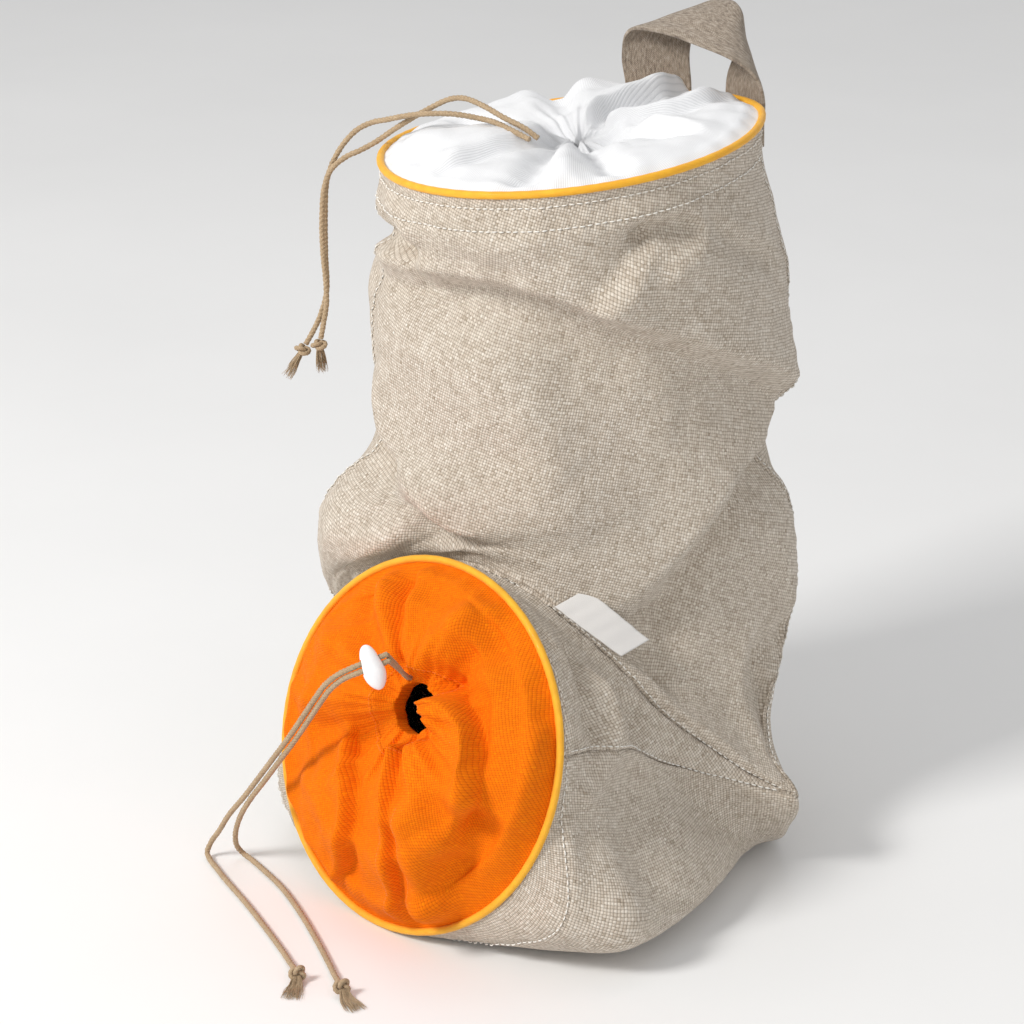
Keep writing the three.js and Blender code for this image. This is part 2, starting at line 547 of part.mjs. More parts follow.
const SPOUT_COVER_FOLDS = [
  [-3, 10, 6, 12, 5, 0.3, 0.3, [[-24, 94], [-8, 62], [4, 38]]],
  [-8, 8, -8, 8, 4, 0.3, 0.3, [[-38, 78], [-16, 56], [-4, 42]]],
  [5, 12, 5, 12, 6, 0.4, 0.3, [[-56, 74], [-30, 52], [-8, 36]]],
  [-6, 9, -6, 9, 5, 0.3, 0.3, [[28, 82], [20, 56], [14, 38]]],
  [6, 10, 6, 10, 6, 0.3, 0.3, [[52, 76], [32, 52], [20, 36]]],
  [-5, 8, -5, 8, 4, 0.3, 0.3, [[-70, 40], [-38, 38], [-8, 30]]],
  [7, 13, -9, 15, 4, 0.2, 0.3, [[20, 36], [38, 38], [55, 30], [64, 18], [70, -4], [66, -22]]],
  [-6, 16, -6, 18, 8, 0.3, 0.3, [[84, 36], [80, 8], [72, -14]]],
  [-6, 7, -6, 7, 4, 0.5, 0.5, [[30, 27], [42, 24]]],
  [-10, 12, -10, 14, 5, 0.25, 0.3, [[26, 8], [42, -14], [60, -36]]],
  [-9, 10, -9, 10, 5, 0.3, 0.2, [[34, -20], [44, -48], [46, -80]]],
  [6, 12, 6, 12, 6, 0.4, 0.3, [[58, -10], [66, -40], [58, -64]]],
  [3, 14, -5, 12, 3, 0.2, 0.3, [[20, 10], [27, -20], [31, -50], [26, -90]]],
  [5, 12, -3, 8, 3, 0.2, 0.3, [[-22, 0], [-14, -14], [-7, -34], [-8, -62], [-22, -86]]],
  [6, 16, 6, 16, 8, 0.3, 0.4, [[-8, 14], [-36, -4], [-66, -28]]],
  [-6, 8, -6, 8, 4, 0.3, 0.4, [[-4, 22], [-32, 14], [-60, 4]]],
];

function finishCover(cover, rows) {
  cover.normal.normalize();
  cover.right.addScaledVector(cover.normal, -cover.right.dot(cover.normal)).normalize();
  cover.up = cover.normal.clone().cross(cover.right);
  cover.folds = rows.map((row) => asRow(FOLD_COLUMNS, row));
  cover.lines = cover.folds.map((fold) => pathLine(fold.path));
}

function profileAt(cover, t, far) {
  const rows = cover.profile;
  let i = 0;
  while (i < rows.length - 2 && rows[i + 1][0] < t) i++;
  const s = soften(clamp((t - rows[i][0]) / (rows[i + 1][0] - rows[i][0]), 0, 1));
  return lerp(lerp(rows[i][2], rows[i + 1][2], s), lerp(rows[i][1], rows[i + 1][1], s), far);
}

// A point of the cover for a place phi on the rim, and t from the rim (0) to the mouth (1) and the
// neck (above 1).
function coverBase(cover, phi, t) {
  const rim = sleeve(phi, cover.station).sub(cover.centre);
  const a = rim.dot(cover.right);
  const b = rim.dot(cover.up);
  const inset = 1 - (PIPING_RADIUS + PIECE_GAP) / Math.hypot(a, b);
  const angle = Math.atan2(b - cover.mouth[1], a - cover.mouth[0]);
  const s = Math.min(1, t);
  const neck = Math.max(0, t - 1);
  const x = lerp(a * inset, cover.mouth[0] + cover.mouthRadius * Math.cos(angle), s);
  const y = lerp(b * inset, cover.mouth[1] + cover.mouthRadius * Math.sin(angle), s);
  const height = rim.dot(cover.normal) * (1 - s) + profileAt(cover, s, (1 + Math.sin(angle)) / 2)
    - neck * cover.neckDepth / NECK_SPAN;
  const p = cover.centre.clone().addScaledVector(cover.right, x).addScaledVector(cover.up, y);
  return { p: p.addScaledVector(cover.normal, height), x, y, angle };
}

function coverPoint(cover, phi, t) {
  const { p, x, y, angle } = coverBase(cover, phi, t);
  let height = 0;
  cover.folds.forEach((fold, i) => { height += oneFold(fold, cover.lines[i], x, y, COVER_STEP); });
  const onCloth = soften(clamp(t / 0.14, 0, 1)) * soften(clamp((1.02 - t) / 0.16, 0, 1));
  const pleat = cover.pleatHeight * Math.sin(cover.pleats * angle + 2 * Math.sin(angle))
    * soften(clamp((t - 0.45) / 0.45, 0, 1));
  const inward = t > 1 ? 0.6 : 1;
  const n = outward((u, w) => coverBase(cover, u, w).p, phi, Math.min(t, 0.93), 2, 0.04).negate();
  return p.addScaledVector(n, height * onCloth + pleat * inward);
}

// The part of a cover from one t to another.
function coverSolid(cover, columns, rows, from, to, keepEdges) {
  const outer = [];
  const facing = [];
  for (let j = 0; j <= rows; j++) {
    const t = lerp(from, to, j / rows);
    outer.push([]);
    facing.push([]);
    for (let i = 0; i < columns; i++) {
      const phi = 360 * i / columns;
      outer[j].push(coverPoint(cover, phi, t));
      facing[j].push(outward((u, w) => coverPoint(cover, u, w), phi, t, 3, 0.05).negate());
    }
  }
  return sheetSolid(innerSide(outer, facing, () => COVER_CLOTH, true, keepEdges, -1), outer, true);
}

// A closed round cord around a rim.
function rimPiping(station, segments, sides) {
  const centre = vec(0, 0, 0);
  const path = [];
  for (let i = 0; i < segments; i++) {
    path.push(sleeve(360 * i / segments, station));
    centre.addScaledVector(path[i], 1 / segments);
  }
  const positions = [];
  const index = [];
  path.forEach((p, i) => {
    const along = path[(i + 1) % segments].clone().sub(path[(i + segments - 1) % segments]).normalize();
    const out = p.clone().sub(centre);
    out.addScaledVector(along, -out.dot(along)).normalize();
    const across = along.clone().cross(out);
    for (let k = 0; k < sides; k++) {
      const angle = 2 * Math.PI * k / sides;
      const q = p.clone().addScaledVector(out, PIPING_RADIUS * Math.cos(angle));
      q.addScaledVector(across, PIPING_RADIUS * Math.sin(angle));
      positions.push(q.x, q.y, q.z);
    }
    for (let k = 0; k < sides; k++) {
      const a = i * sides + k;
      const b = i * sides + (k + 1) % sides;
      const c = ((i + 1) % segments) * sides + (k + 1) % sides;
      const d = ((i + 1) % segments) * sides + k;
      index.push(a, b, c, a, c, d);
    }
  });
  const geometry = new THREE.BufferGeometry();
  geometry.setAttribute('position', new THREE.Float32BufferAttribute(positions, 3));
  geometry.setIndex(index);
  return geometry;
}

// A band between two smooth edges, thickened to the inner side of its width.
function bandSolid(nearEdge, farEdge, width, thickness, steps) {
  const near = new THREE.CatmullRomCurve3(nearEdge.map((p) => vec(...p)), false, 'centripetal');
  const far = new THREE.CatmullRomCurve3(farEdge.map((p) => vec(...p)), false, 'centripetal');
  const middle = [];
  const sides = [];
  for (let j = 0; j <= steps; j++) {
    const a = near.getPoint(j / steps);
    const b = far.getPoint(j / steps);
    middle.push(a.clone().add(b).multiplyScalar(0.5));
    sides.push(b.sub(a).normalize());
  }
  const outer = [];
  const inner = [];
  middle.forEach((m, j) => {
    const along = middle[Math.min(steps, j + 1)].clone().sub(middle[Math.max(0, j - 1)]).normalize();
    const n = along.clone().cross(sides[j]).normalize();
    outer.push([-0.5, 0, 0.5].map((w) => m.clone().addScaledVector(sides[j], w * width)));
    inner.push(outer[j].map((p) => p.clone().addScaledVector(n, -thickness)));
  });
  return sheetSolid(inner, outer, false);
}

// A closed surface with its shared corners merged, ready to be joined to others or cut.
function asManifold(geometry) {
  const points = geometry.getAttribute('position');
  const merged = new Map();
  const vertices = [];
  const slot = [];
  for (let i = 0; i < points.count; i++) {
    const key = [points.getX(i), points.getY(i), points.getZ(i)].map((x) => Math.round(x * 1e4)).join(',');
    if (!merged.has(key)) {
      merged.set(key, vertices.length / 3);
      vertices.push(points.getX(i), points.getY(i), points.getZ(i));
    }
    slot.push(merged.get(key));
  }
  const faces = [];
  const index = geometry.index ? geometry.index.array : slot.map((_, i) => i);
  for (let i = 0; i < index.length; i += 3) {
    const [a, b, c] = [slot[index[i]], slot[index[i + 1]], slot[index[i + 2]]];
    if (a !== b && b !== c && c !== a) faces.push(a, b, c);
  }
  return new wasm.Manifold(new wasm.Mesh({
    numProp: 3,
    vertProperties: new Float32Array(vertices),
    triVerts: new Uint32Array(faces),
  }));
}

function asGeometry(manifold) {
  const mesh = manifold.getMesh();
  const geometry = new THREE.BufferGeometry();
  geometry.setAttribute('position', new THREE.BufferAttribute(new Float32Array(mesh.vertProperties), 3));
  geometry.setIndex(Array.from(mesh.triVerts));
  return geometry;
}

function cordSolid(route, diameter, steps, sides = 8) {
  const circle = new THREE.Shape();
  for (let k = 0; k < sides; k++) {
    const angle = 2 * Math.PI * k / sides;
    const method = k === 0 ? 'moveTo' : 'lineTo';
    circle[method](Math.cos(angle) * diameter / 2, Math.sin(angle) * diameter / 2);
  }
  circle.closePath();
  const path = new THREE.CatmullRomCurve3(route.map((p) => vec(...p)), false, 'centripetal');
  return new THREE.ExtrudeGeometry(circle, { steps, bevelEnabled: false, extrudePath: path });
}

// A thin strand that tapers, for the frayed end below a knot.
function strandSolid(root, tip, width, onFloor) {
  const rows = 2;
  const sides = 3;
  const along = tip.clone().sub(root).normalize();
  const u = along.clone().cross(Math.abs(along.x) < 0.9 ? vec(1, 0, 0) : vec(0, 1, 0)).normalize();
  const w = along.clone().cross(u);
  const positions = [];
  const index = [];
  for (let j = 0; j <= rows; j++) {
    const t = j / rows;
    const p = root.clone().lerp(tip, t);
    const r = width * (1 - 0.4 * t) / 2;
    if (onFloor) p.z = lerp(root.z, FLOOR + width / 2, soften(Math.min(1, t / 0.45)));
    for (let k = 0; k < sides; k++) {
      const angle = 2 * Math.PI * k / sides;
      const q = p.clone().addScaledVector(u, r * Math.cos(angle)).addScaledVector(w, r * Math.sin(angle));
      positions.push(q.x, q.y, q.z);
    }
  }
  for (let j = 0; j < rows; j++) {
    for (let k = 0; k < sides; k++) {
      const a = j * sides + k;
      const b = j * sides + (k + 1) % sides;
      index.push(a, b, b + sides, a, b + sides, a + sides);
    }
  }
  index.push(0, 2, 1, rows * sides, rows * sides + 1, rows * sides + 2);
  const geometry = new THREE.BufferGeometry();
  geometry.setAttribute('position', new THREE.Float32BufferAttribute(positions, 3));
  geometry.setIndex(index);
  return geometry;
}

// An overhand knot at the end of a cord, with its frayed end fused to it. A knot that lies on the
// floor lets its strands down to it.
function knotSolid(centre, cordWay, frayWay, length, spread, onFloor) {
  const knot = new THREE.TorusKnotGeometry(KNOT.ring, KNOT.tube, 20, 5, 2, 3);
  const turn = new THREE.Quaternion().setFromUnitVectors(vec(0, 0, 1), cordWay.clone().normalize());
  knot.applyQuaternion(turn);
  knot.translate(centre.x, centre.y, centre.z);
  const core = new THREE.SphereGeometry(KNOT.core, 8, 4);
  core.translate(centre.x, centre.y, centre.z);
  let solid = asManifold(knot).add(asManifold(core));
  const way = frayWay.clone().normalize();
  const across = way.clone().cross(cordWay).normalize();
  const beside = onFloor ? vec(0, 0, 1).cross(way).normalize() : across;
  const other = way.clone().cross(beside);
  for (let i = 0; i < STRANDS; i++) {
    const angle = 2 * Math.PI * i * 0.382;
    const ring = Math.sqrt((i + 0.5) / STRANDS);
    const root = centre.clone().addScaledVector(beside, Math.cos(angle) * ring * 1.4);
    root.addScaledVector(other, Math.sin(angle) * ring * 1.0);
    const reach = length * (0.78 + 0.22 * Math.cos(i * 2.4));
    const tip = centre.clone().addScaledVector(way, reach);
    tip.addScaledVector(beside, Math.cos(angle) * ring * spread);
    tip.addScaledVector(other, Math.sin(angle) * ring * (onFloor ? 0 : spread * 0.6));
    solid = solid.add(asManifold(strandSolid(root, tip, STRAND_WIDTH, onFloor)));
  }
  const shells = solid.decompose().sort((a, b) => b.volume() - a.volume());
  return asGeometry(shells[0]);
}

// The strap's two edges, from the tail of one leg over the arch to the tail of the other.
const STRAP_NEAR = [[-59, 99.4, 356], [-58.9, 99.2, 369], [-59, 99, 383], [-60.5, 96.5, 400],
  [-51, 91.5, 416],
  [-30, 86, 421.5], [0, 83, 423], [28, 84, 419], [41.5, 90, 409], [40.6, 98.6, 394],
  [40.4, 99, 381], [40.2, 99.4, 369]];
const STRAP_FAR = [[-18, 111.8, 361], [-17.9, 111.6, 374], [-18.2, 111.6, 388], [-21, 113.5, 408],
  [-19, 117.5, 427],
  [-8, 118, 437], [2, 117, 436.5], [12, 112, 433], [15, 111.4, 424], [7, 111, 400], [5.2, 111, 386],
  [5, 111.2, 373]];

// Cord routes, from where the cord comes out to its knot.
const away = vec(-0.695, 0.719, 0);
const right = vec(0.719, 0.695, 0);
const fromRim = ([a, d, z]) => {
  const p = vec(-15.2, 10.2, z).addScaledVector(right, a).addScaledVector(away, d);
  return [p.x, p.y, p.z];
};
const TOP_CORD_A = [[-17, -22, 387.3], [-24, -19, 391.8], [-35, -12, 395.7], [-45, -4, 399.4],
  [-55, 3, 401.6],
  [-63, 8, 399.8], [-74, 12, 393.6], [-83, 15.5, 387.5], [-92.5, 18, 380.8], [-102.4, 18.5, 373.8],
  [-110.8, 19, 369], [-118, 19.5, 365.5], [-126, 18.5, 359], [-130, 18, 349.5], [-131.7, 17.5, 333],
  [-131.7, 17, 314.5], [-130.5, 17, 296], [-130.5, 17, 284], [-132.5, 17, 272],
  [-134, 17, 264.2]].map(fromRim);
const TOP_CORD_B = [[-21.5, -26.5, 388], [-30, -19.5, 390.5], [-39, -9, 392], [-48, -0.5, 392],
  [-61.7, 4, 393],
  [-78, 8.5, 391.7], [-88, 13.5, 389], [-96.7, 18, 386], [-104, 22, 383.5], [-112, 24.5, 379],
  [-119, 24.5, 372],
  [-125, 23.5, 362.5], [-129, 23, 351], [-130.3, 22.5, 333], [-130.6, 22, 311], [-130.6, 22, 289],
  [-134.5, 22, 275], [-139, 22, 265.5], [-142.5, 22, 259.3]].map(fromRim);
const TOP_KNOT_A = fromRim([-134.8, 17, 260.6]);
const TOP_KNOT_B = fromRim([-144.2, 22, 256]);

// The two spout cords run side by side through the cord lock and part above the floor.
const LOCK_AXIS = vec(-0.45, -0.86, -0.25).normalize();      // the way of the cords through the lock
const LOCK_LONG = vec(0.473, -0.058, -0.874);
LOCK_LONG.addScaledVector(LOCK_AXIS, -LOCK_LONG.dot(LOCK_AXIS)).normalize();
const LOCK_CENTRE = vec(19.3, -170.8, 149.6);
const PAIR_HALF = 1.75;
const PAIR_SIDE = vec(0.73, 0.365, -0.58).normalize();
const PAIR = [[22.4, -162.2, 153.2], [18.8, -169.1, 151.2], [15, -176.3, 149.1], [8, -181.5, 144.5],
  [-0.5, -183, 136.5], [-8.5, -182.5, 126.5], [-19, -181.5, 112.5], [-32, -180.5, 95], [-46, -180, 77],
  [-59, -180, 60], [-71, -180, 44.5]];
const beside = (route, amount) => route.map(([x, y, z], i) => {
  const side = i < 3 ? LOCK_LONG : PAIR_SIDE;
  return [x + side.x * amount, y + side.y * amount, z + side.z * amount];
});
const ON_FLOOR = FLOOR + TWINE_DIAMETER / 2 + 0.05;
const SPOUT_CORD_A = [...beside(PAIR, -PAIR_HALF), [-85.4, -181.2, 29.2], [-94, -181, 16.5],
  [-101, -181.5, 6.5],
  [-102.5, -183, 0.5], [-98, -185, ON_FLOOR], [-89, -188.5, ON_FLOOR], [-77, -193, ON_FLOOR],
  [-50, -202, ON_FLOOR],
  [-23, -212, ON_FLOOR], [1, -221.5, ON_FLOOR], [14, -227.5, ON_FLOOR + 0.6],
  [24.5, -233, ON_FLOOR + 2.8]];
const SPOUT_CORD_B = [...beside(PAIR, PAIR_HALF), [-80, -178, 28.5], [-86.5, -176, 15],
  [-89.5, -172.5, 5],
  [-88, -169.5, 0], [-82, -169.3, ON_FLOOR], [-70, -172, ON_FLOOR], [-48, -178, ON_FLOOR],
  [-21, -189, ON_FLOOR],
  [6, -202, ON_FLOOR], [29, -214, ON_FLOOR], [40, -220.3, ON_FLOOR + 0.6], [50, -226, ON_FLOOR + 2.8]];
const FLOOR_KNOT_A = [27.5, -234.6, FLOOR + 4.9];
const FLOOR_KNOT_B = [53, -227.6, FLOOR + 4.9];

// The cord lock: a bean pressed through by a slot for the two cords.
function cordLock() {
  const bean = new THREE.SphereGeometry(1, 16, 12);
  const points = bean.getAttribute('position');
  const thick = LOCK_AXIS.clone().cross(LOCK_LONG);
  for (let i = 0; i < points.count; i++) {
    const x = points.getX(i);
    const y = points.getY(i);
    const z = points.getZ(i);
    const full = 1 + 0.08 * Math.sin(Math.PI * y);
    const q = LOCK_CENTRE.clone().addScaledVector(LOCK_LONG, LOCK_SIZE.long / 2 * y);
    q.addScaledVector(LOCK_AXIS, LOCK_SIZE.wide / 2 * x * full);
    q.addScaledVector(thick, LOCK_SIZE.thick / 2 * z * full);
    points.setXYZ(i, q.x, q.y, q.z);
  }
  const slot = new THREE.BoxGeometry(LOCK_SLOT.long, LOCK_SIZE.wide * 2, LOCK_SLOT.thick);
  const slotThick = LOCK_LONG.clone().cross(LOCK_AXIS);
  slot.applyMatrix4(new THREE.Matrix4().makeBasis(LOCK_LONG, LOCK_AXIS, slotThick));
  const middle = vec(...PAIR[1]);
  slot.translate(middle.x, middle.y, middle.z);
  return asGeometry(asManifold(bean).subtract(asManifold(slot)));
}

// The folded label lies over the front panel, its lower edge caught in the spout seam.
function labelSolid() {
  const columns = 6;
  const rows = 2;
  const outer = [];
  const inner = [];
  for (let j = 0; j <= rows; j++) {
    outer.push([]);
    inner.push([]);
    for (let i = 0; i <= columns; i++) {
      const phi = lerp(LABEL_PHI[0], LABEL_PHI[1], i / columns);
      const seam = spoutSeam(phi);
      const lift = lerp(LABEL_LIFT[0], LABEL_LIFT[1], i / columns);
      const low = cloth(phi, seam - 0.006);
      const up = cloth(phi, LABEL_TOP).sub(low).normalize();
      const along = cloth(phi - 2, seam).sub(cloth(phi + 2, seam)).normalize();
      const n = along.cross(up).normalize();
      const p = low.addScaledVector(up, LABEL_HEIGHT * j / rows);
      outer[j].push(p.clone().addScaledVector(n, lift + LABEL_THICKNESS));
      inner[j].push(p.clone().addScaledVector(n, lift));
    }
  }
  return sheetSolid(outer, inner, false);
}

finishCover(TOP_COVER, TOP_COVER_FOLDS);
finishCover(SPOUT_COVER, SPOUT_COVER_FOLDS);

const LINEN = { color: 0xc9bdaf, roughness: 0.95 };
const YELLOW = { color: 0xf2ae14, roughness: 0.7 };
const WHITE_RIB = { color: 0xeeeef0, roughness: 0.9 };
const ORANGE = { color: 0xf0640a, roughness: 0.85 };
const WEBBING = { color: 0xa8957a, roughness: 0.95 };
const TWINE = { color: 0xb59a74, roughness: 0.95 };
const PLASTIC = { color: 0xf6f6f6, roughness: 0.25 };
const LABEL = { color: 0xe6e0d8, roughness: 0.85 };

const pipingEnd = PIPING_RADIUS + PIECE_GAP;
const CASING_START = 0.88;    // the casing of the drawstring is sewn to the spout cover at this t
const CASING_GAP = 0.008;
const RIM_COLUMNS = 44;
const PIPING_SIDES = 6;
const TOP_CORD_STEPS = 28;
const SPOUT_CORD_STEPS = 42;
const PIECES = [
  ['front_panel', LINEN, panel(0, 180, FRONT_COLUMNS, bodyRows, pipingEnd, SEAM_GAP)],
  ['back_panel', LINEN, panel(180, 360, BACK_COLUMNS, bodyRows, pipingEnd, BASE_GAP)],
  ['base_panel', LINEN, panel(180, 360, BACK_COLUMNS, spoutRows, BASE_GAP, PIPING_RADIUS + RIM_GAP)],
  ['spout_panel', LINEN, panel(0, 180, FRONT_COLUMNS, spoutRows, SEAM_GAP, PIPING_RADIUS + RIM_GAP)],
  ['top_piping', YELLOW, rimPiping(0, RIM_COLUMNS, PIPING_SIDES)],
  ['spout_piping', YELLOW, rimPiping(2, RIM_COLUMNS, PIPING_SIDES)],
  ['top_cover', WHITE_RIB, coverSolid(TOP_COVER, RIM_COLUMNS, 9, 0, 1 + NECK_SPAN, false)],
  ['spout_cover', ORANGE, coverSolid(SPOUT_COVER, RIM_COLUMNS, 8, 0, CASING_START, true)],
  ['spout_casing', ORANGE, coverSolid(SPOUT_COVER, RIM_COLUMNS, 3, CASING_START + CASING_GAP,
    1 + NECK_SPAN, true)],
  ['hanging_strap', WEBBING, bandSolid(STRAP_NEAR, STRAP_FAR, STRAP_WIDTH, STRAP_THICKNESS, 20)],
  ['side_label', LABEL, labelSolid()],
  ['top_cord_a', TWINE, cordSolid(TOP_CORD_A, TWINE_DIAMETER, TOP_CORD_STEPS)],
  ['top_cord_b', TWINE, cordSolid(TOP_CORD_B, TWINE_DIAMETER, TOP_CORD_STEPS)],
  ['spout_cord_a', TWINE, cordSolid(SPOUT_CORD_A, TWINE_DIAMETER, SPOUT_CORD_STEPS)],
  ['spout_cord_b', TWINE, cordSolid(SPOUT_CORD_B, TWINE_DIAMETER, SPOUT_CORD_STEPS)],
  ['top_knot_a', TWINE, knotSolid(vec(...TOP_KNOT_A), vec(0, 0, 1), vec(0.1, 0, -1), 17, 4, false)],
  ['top_knot_b', TWINE, knotSolid(vec(...TOP_KNOT_B), vec(0.3, 0.3, 1), vec(-0.4, -0.4, -1), 19, 5,
    false)],
  ['spout_knot_a', TWINE, knotSolid(vec(...FLOOR_KNOT_A), vec(-0.85, 0.5, 0), vec(0.6, -0.8, 0),
    19, 6, true)],
  ['spout_knot_b', TWINE, knotSolid(vec(...FLOOR_KNOT_B), vec(-0.85, 0.5, 0), vec(0.95, -0.3, 0),
    19, 6, true)],
  ['cord_lock', PLASTIC, cordLock()],
];

const group = new THREE.Group();
group.name = 'potato_storage_bag';
for (const [name, look, geometry] of PIECES) {
  geometry.translate(SHIFT_X, SHIFT_Y, -FLOOR);
  geometry.deleteAttribute('normal');
  geometry.deleteAttribute('uv');
  geometry.computeVertexNormals();
  const material = new THREE.MeshStandardMaterial({ ...look, metalness: 0 });
  const mesh = new THREE.Mesh(geometry, material);
  mesh.name = name;
  group.add(mesh);
}
export default group;
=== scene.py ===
"""A potato storage bag of linen canvas on a pale floor, in metres, +Z up.

The cloth follows the same bent sleeve as the solids, on a finer grid, with stitching, puckered seams
and small creases. Lengths inside the script are millimetres in the sleeve's own axes, unless they
are named otherwise.
"""
import math

import bpy
import numpy as np
from mathutils import Matrix


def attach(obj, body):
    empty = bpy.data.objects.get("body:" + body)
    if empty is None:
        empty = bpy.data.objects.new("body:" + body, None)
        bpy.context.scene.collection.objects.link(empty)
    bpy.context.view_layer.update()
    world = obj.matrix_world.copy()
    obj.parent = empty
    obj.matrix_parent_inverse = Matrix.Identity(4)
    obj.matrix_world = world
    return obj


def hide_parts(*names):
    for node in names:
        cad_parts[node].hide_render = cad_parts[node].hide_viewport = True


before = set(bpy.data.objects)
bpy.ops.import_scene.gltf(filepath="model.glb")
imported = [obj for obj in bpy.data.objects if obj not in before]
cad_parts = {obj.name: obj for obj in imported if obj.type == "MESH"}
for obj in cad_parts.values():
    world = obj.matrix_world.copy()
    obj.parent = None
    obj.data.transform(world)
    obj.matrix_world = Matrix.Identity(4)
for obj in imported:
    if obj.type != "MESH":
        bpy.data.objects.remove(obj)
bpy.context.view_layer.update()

MM = 0.001
SHIFT = np.array([-7.5, 34.6, 2.9])  # from the sleeve's axes to the frame's
FLOOR = -2.9                         # height of the floor in the sleeve's axes

# The camera stands 44 degrees round and 23 degrees up. Its place is in metres.
AZIMUTH, ELEVATION = math.radians(44), math.radians(23)
EYE = (1.0288, -1.0879, 0.8281)
LENS, SENSOR, FAR_CLIP = 107.58, 36.0, 20.0

# Sizes of the cloth, the twine and the small pieces.
LINEN_THICK, COVER_THICK, STRAP_THICK, LABEL_THICK = 0.9, 0.8, 1.8, 1.0
PIPING_RADIUS, STRAP_WIDTH = 2.0, 39.0
TWINE_DIAMETER, TWINE_RADIUS, TWIST, RING_STEP = 3.1, 1.55, 7.5, 0.45
LABEL_PHI, LABEL_TOP, LABEL_WIDTH, LABEL_HEIGHT = (66.5, 49.0), 0.93, 44.0, 20.0
LOCK_LONG_SIZE, LOCK_WIDE, LOCK_THICK, LOCK_SLOT = 24.0, 11.5, 9.0, (7.6, 4.0)


def unit(v):
    return v / np.maximum(np.linalg.norm(v, axis=-1, keepdims=True), 1e-12)


def placed(name, data, x, y, z, place):
    """A camera or lamp with its three axes and its place."""
    obj = bpy.data.objects.new(name, data)
    bpy.context.scene.collection.objects.link(obj)
    matrix = np.eye(4)
    matrix[:3, 0], matrix[:3, 1], matrix[:3, 2], matrix[:3, 3] = x, y, z, place
    obj.matrix_world = Matrix(matrix.tolist())
    return obj


def add_camera():
    data = bpy.data.cameras.new("camera")
    data.sensor_width, data.lens, data.clip_end = SENSOR, LENS, FAR_CLIP
    right = np.array([math.cos(AZIMUTH), math.sin(AZIMUTH), 0.0])
    forward = np.array([-math.sin(AZIMUTH) * math.cos(ELEVATION),
                        math.cos(AZIMUTH) * math.cos(ELEVATION), -math.sin(ELEVATION)])
    bpy.context.scene.camera = placed("camera", data, right, np.cross(right, forward), -forward, EYE)


add_camera()


# Small tools.
def smooth(t):
    t = np.clip(t, 0.0, 1.0)
    return t * t * (3 - 2 * t)


def lerp(a, b, t):
    return a + (b - a) * t


def bell(x):
    return np.exp(-(x**2))


def distance(path):
    """How far along a polyline each of its points is."""
    return np.concatenate([[0], np.cumsum(np.linalg.norm(np.diff(path, axis=0), axis=1))])


def sample(at, run, values):
    return np.stack([np.interp(at, run, values[:, k]) for k in range(values.shape[1])], axis=1)


def catmull(points, t):
    """Points of a centripetal Catmull-Rom curve at each t from 0 to 1."""
    p = np.asarray(points, float)
    p = np.vstack([2 * p[0] - p[1], p, 2 * p[-1] - p[-2]])
    spans = len(p) - 3
    place = np.clip(np.asarray(t, float), 0, 1) * spans
    i = np.minimum(place.astype(int), spans - 1)
    w = (place - i)[:, None]
    x0, x1, x2, x3 = p[i], p[i + 1], p[i + 2], p[i + 3]
    d0, d1, d2 = (np.sqrt(np.linalg.norm(b - a, axis=1))[:, None]
                  for a, b in ((x0, x1), (x1, x2), (x2, x3)))
    t1 = ((x1 - x0) / d0 - (x2 - x0) / (d0 + d1) + (x2 - x1) / d1) * d1
    t2 = ((x2 - x1) / d1 - (x3 - x1) / (d1 + d2) + (x3 - x2) / d2) * d1
    return x1 + t1 * w + (3 * (x2 - x1) - 2 * t1 - t2) * w**2 + (2 * (x1 - x2) + t1 + t2) * w**3


def evenly(line, step):
    """The points of a polyline at even distances along it."""
    run = distance(line)
    return sample(np.linspace(0, run[-1], max(2, int(round(run[-1] / step)) + 1)), run, line)


def waves(x, y, seed, number, shortest, longest):
    """Gentle random relief from -1 to 1 or so over flat places, always the same for a seed."""
    r = np.random.default_rng(seed)
    total = np.zeros_like(x)
    for _ in range(number):
        length = math.exp(r.uniform(math.log(shortest), math.log(longest)))
        way, phase = r.uniform(0, math.tau), r.uniform(0, math.tau)
        k = math.tau / length
        sideways = y * math.cos(way) - x * math.sin(way)
        bend = 0.35 * length * np.sin(k * 0.31 * sideways + phase * 2)
        onward = x * math.cos(way) + y * math.sin(way)
        total += np.sin(k * (onward + bend) + phase) * (length / longest) ** 0.6
    return total / math.sqrt(number)


def detail(n):
    return max(12, int(n * (1.0)))


def spread(n, tight):
    """Numbers from 0 to 1 that lie closer together at both ends."""
    t = np.linspace(0, 1, n)
    return t - tight * np.sin(math.tau * t) / math.tau


# Meshes.
def add_mesh(name, points, faces, material, uv=None):
    """An object from points in the sleeve's axes, with its cloth coordinates in metres."""
    mesh = bpy.data.meshes.new(name)
    co = (np.asarray(points, float).reshape(-1, 3) + SHIFT) * MM
    mesh.from_pydata(co.tolist(), [], [list(map(int, f)) for f in faces])
    if uv is not None:
        layer = mesh.uv_layers.new(name="cloth")
        corner = np.empty(len(mesh.loops), int)
        mesh.loops.foreach_get("vertex_index", corner)
        layer.data.foreach_set("uv", (np.asarray(uv, float).reshape(-1, 2)[corner] * MM).ravel())
    mesh.polygons.foreach_set("use_smooth", [True] * len(mesh.polygons))
    mesh.materials.append(material)
    mesh.update()
    obj = bpy.data.objects.new(name, mesh)
    bpy.context.scene.collection.objects.link(obj)
    return obj


def keep(obj, node=None):
    """Ties a piece to the part, and hides the solid that it stands for."""
    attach(obj, "root")
    if node:
        obj.name = node + "_look"
        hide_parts(node)
    return obj


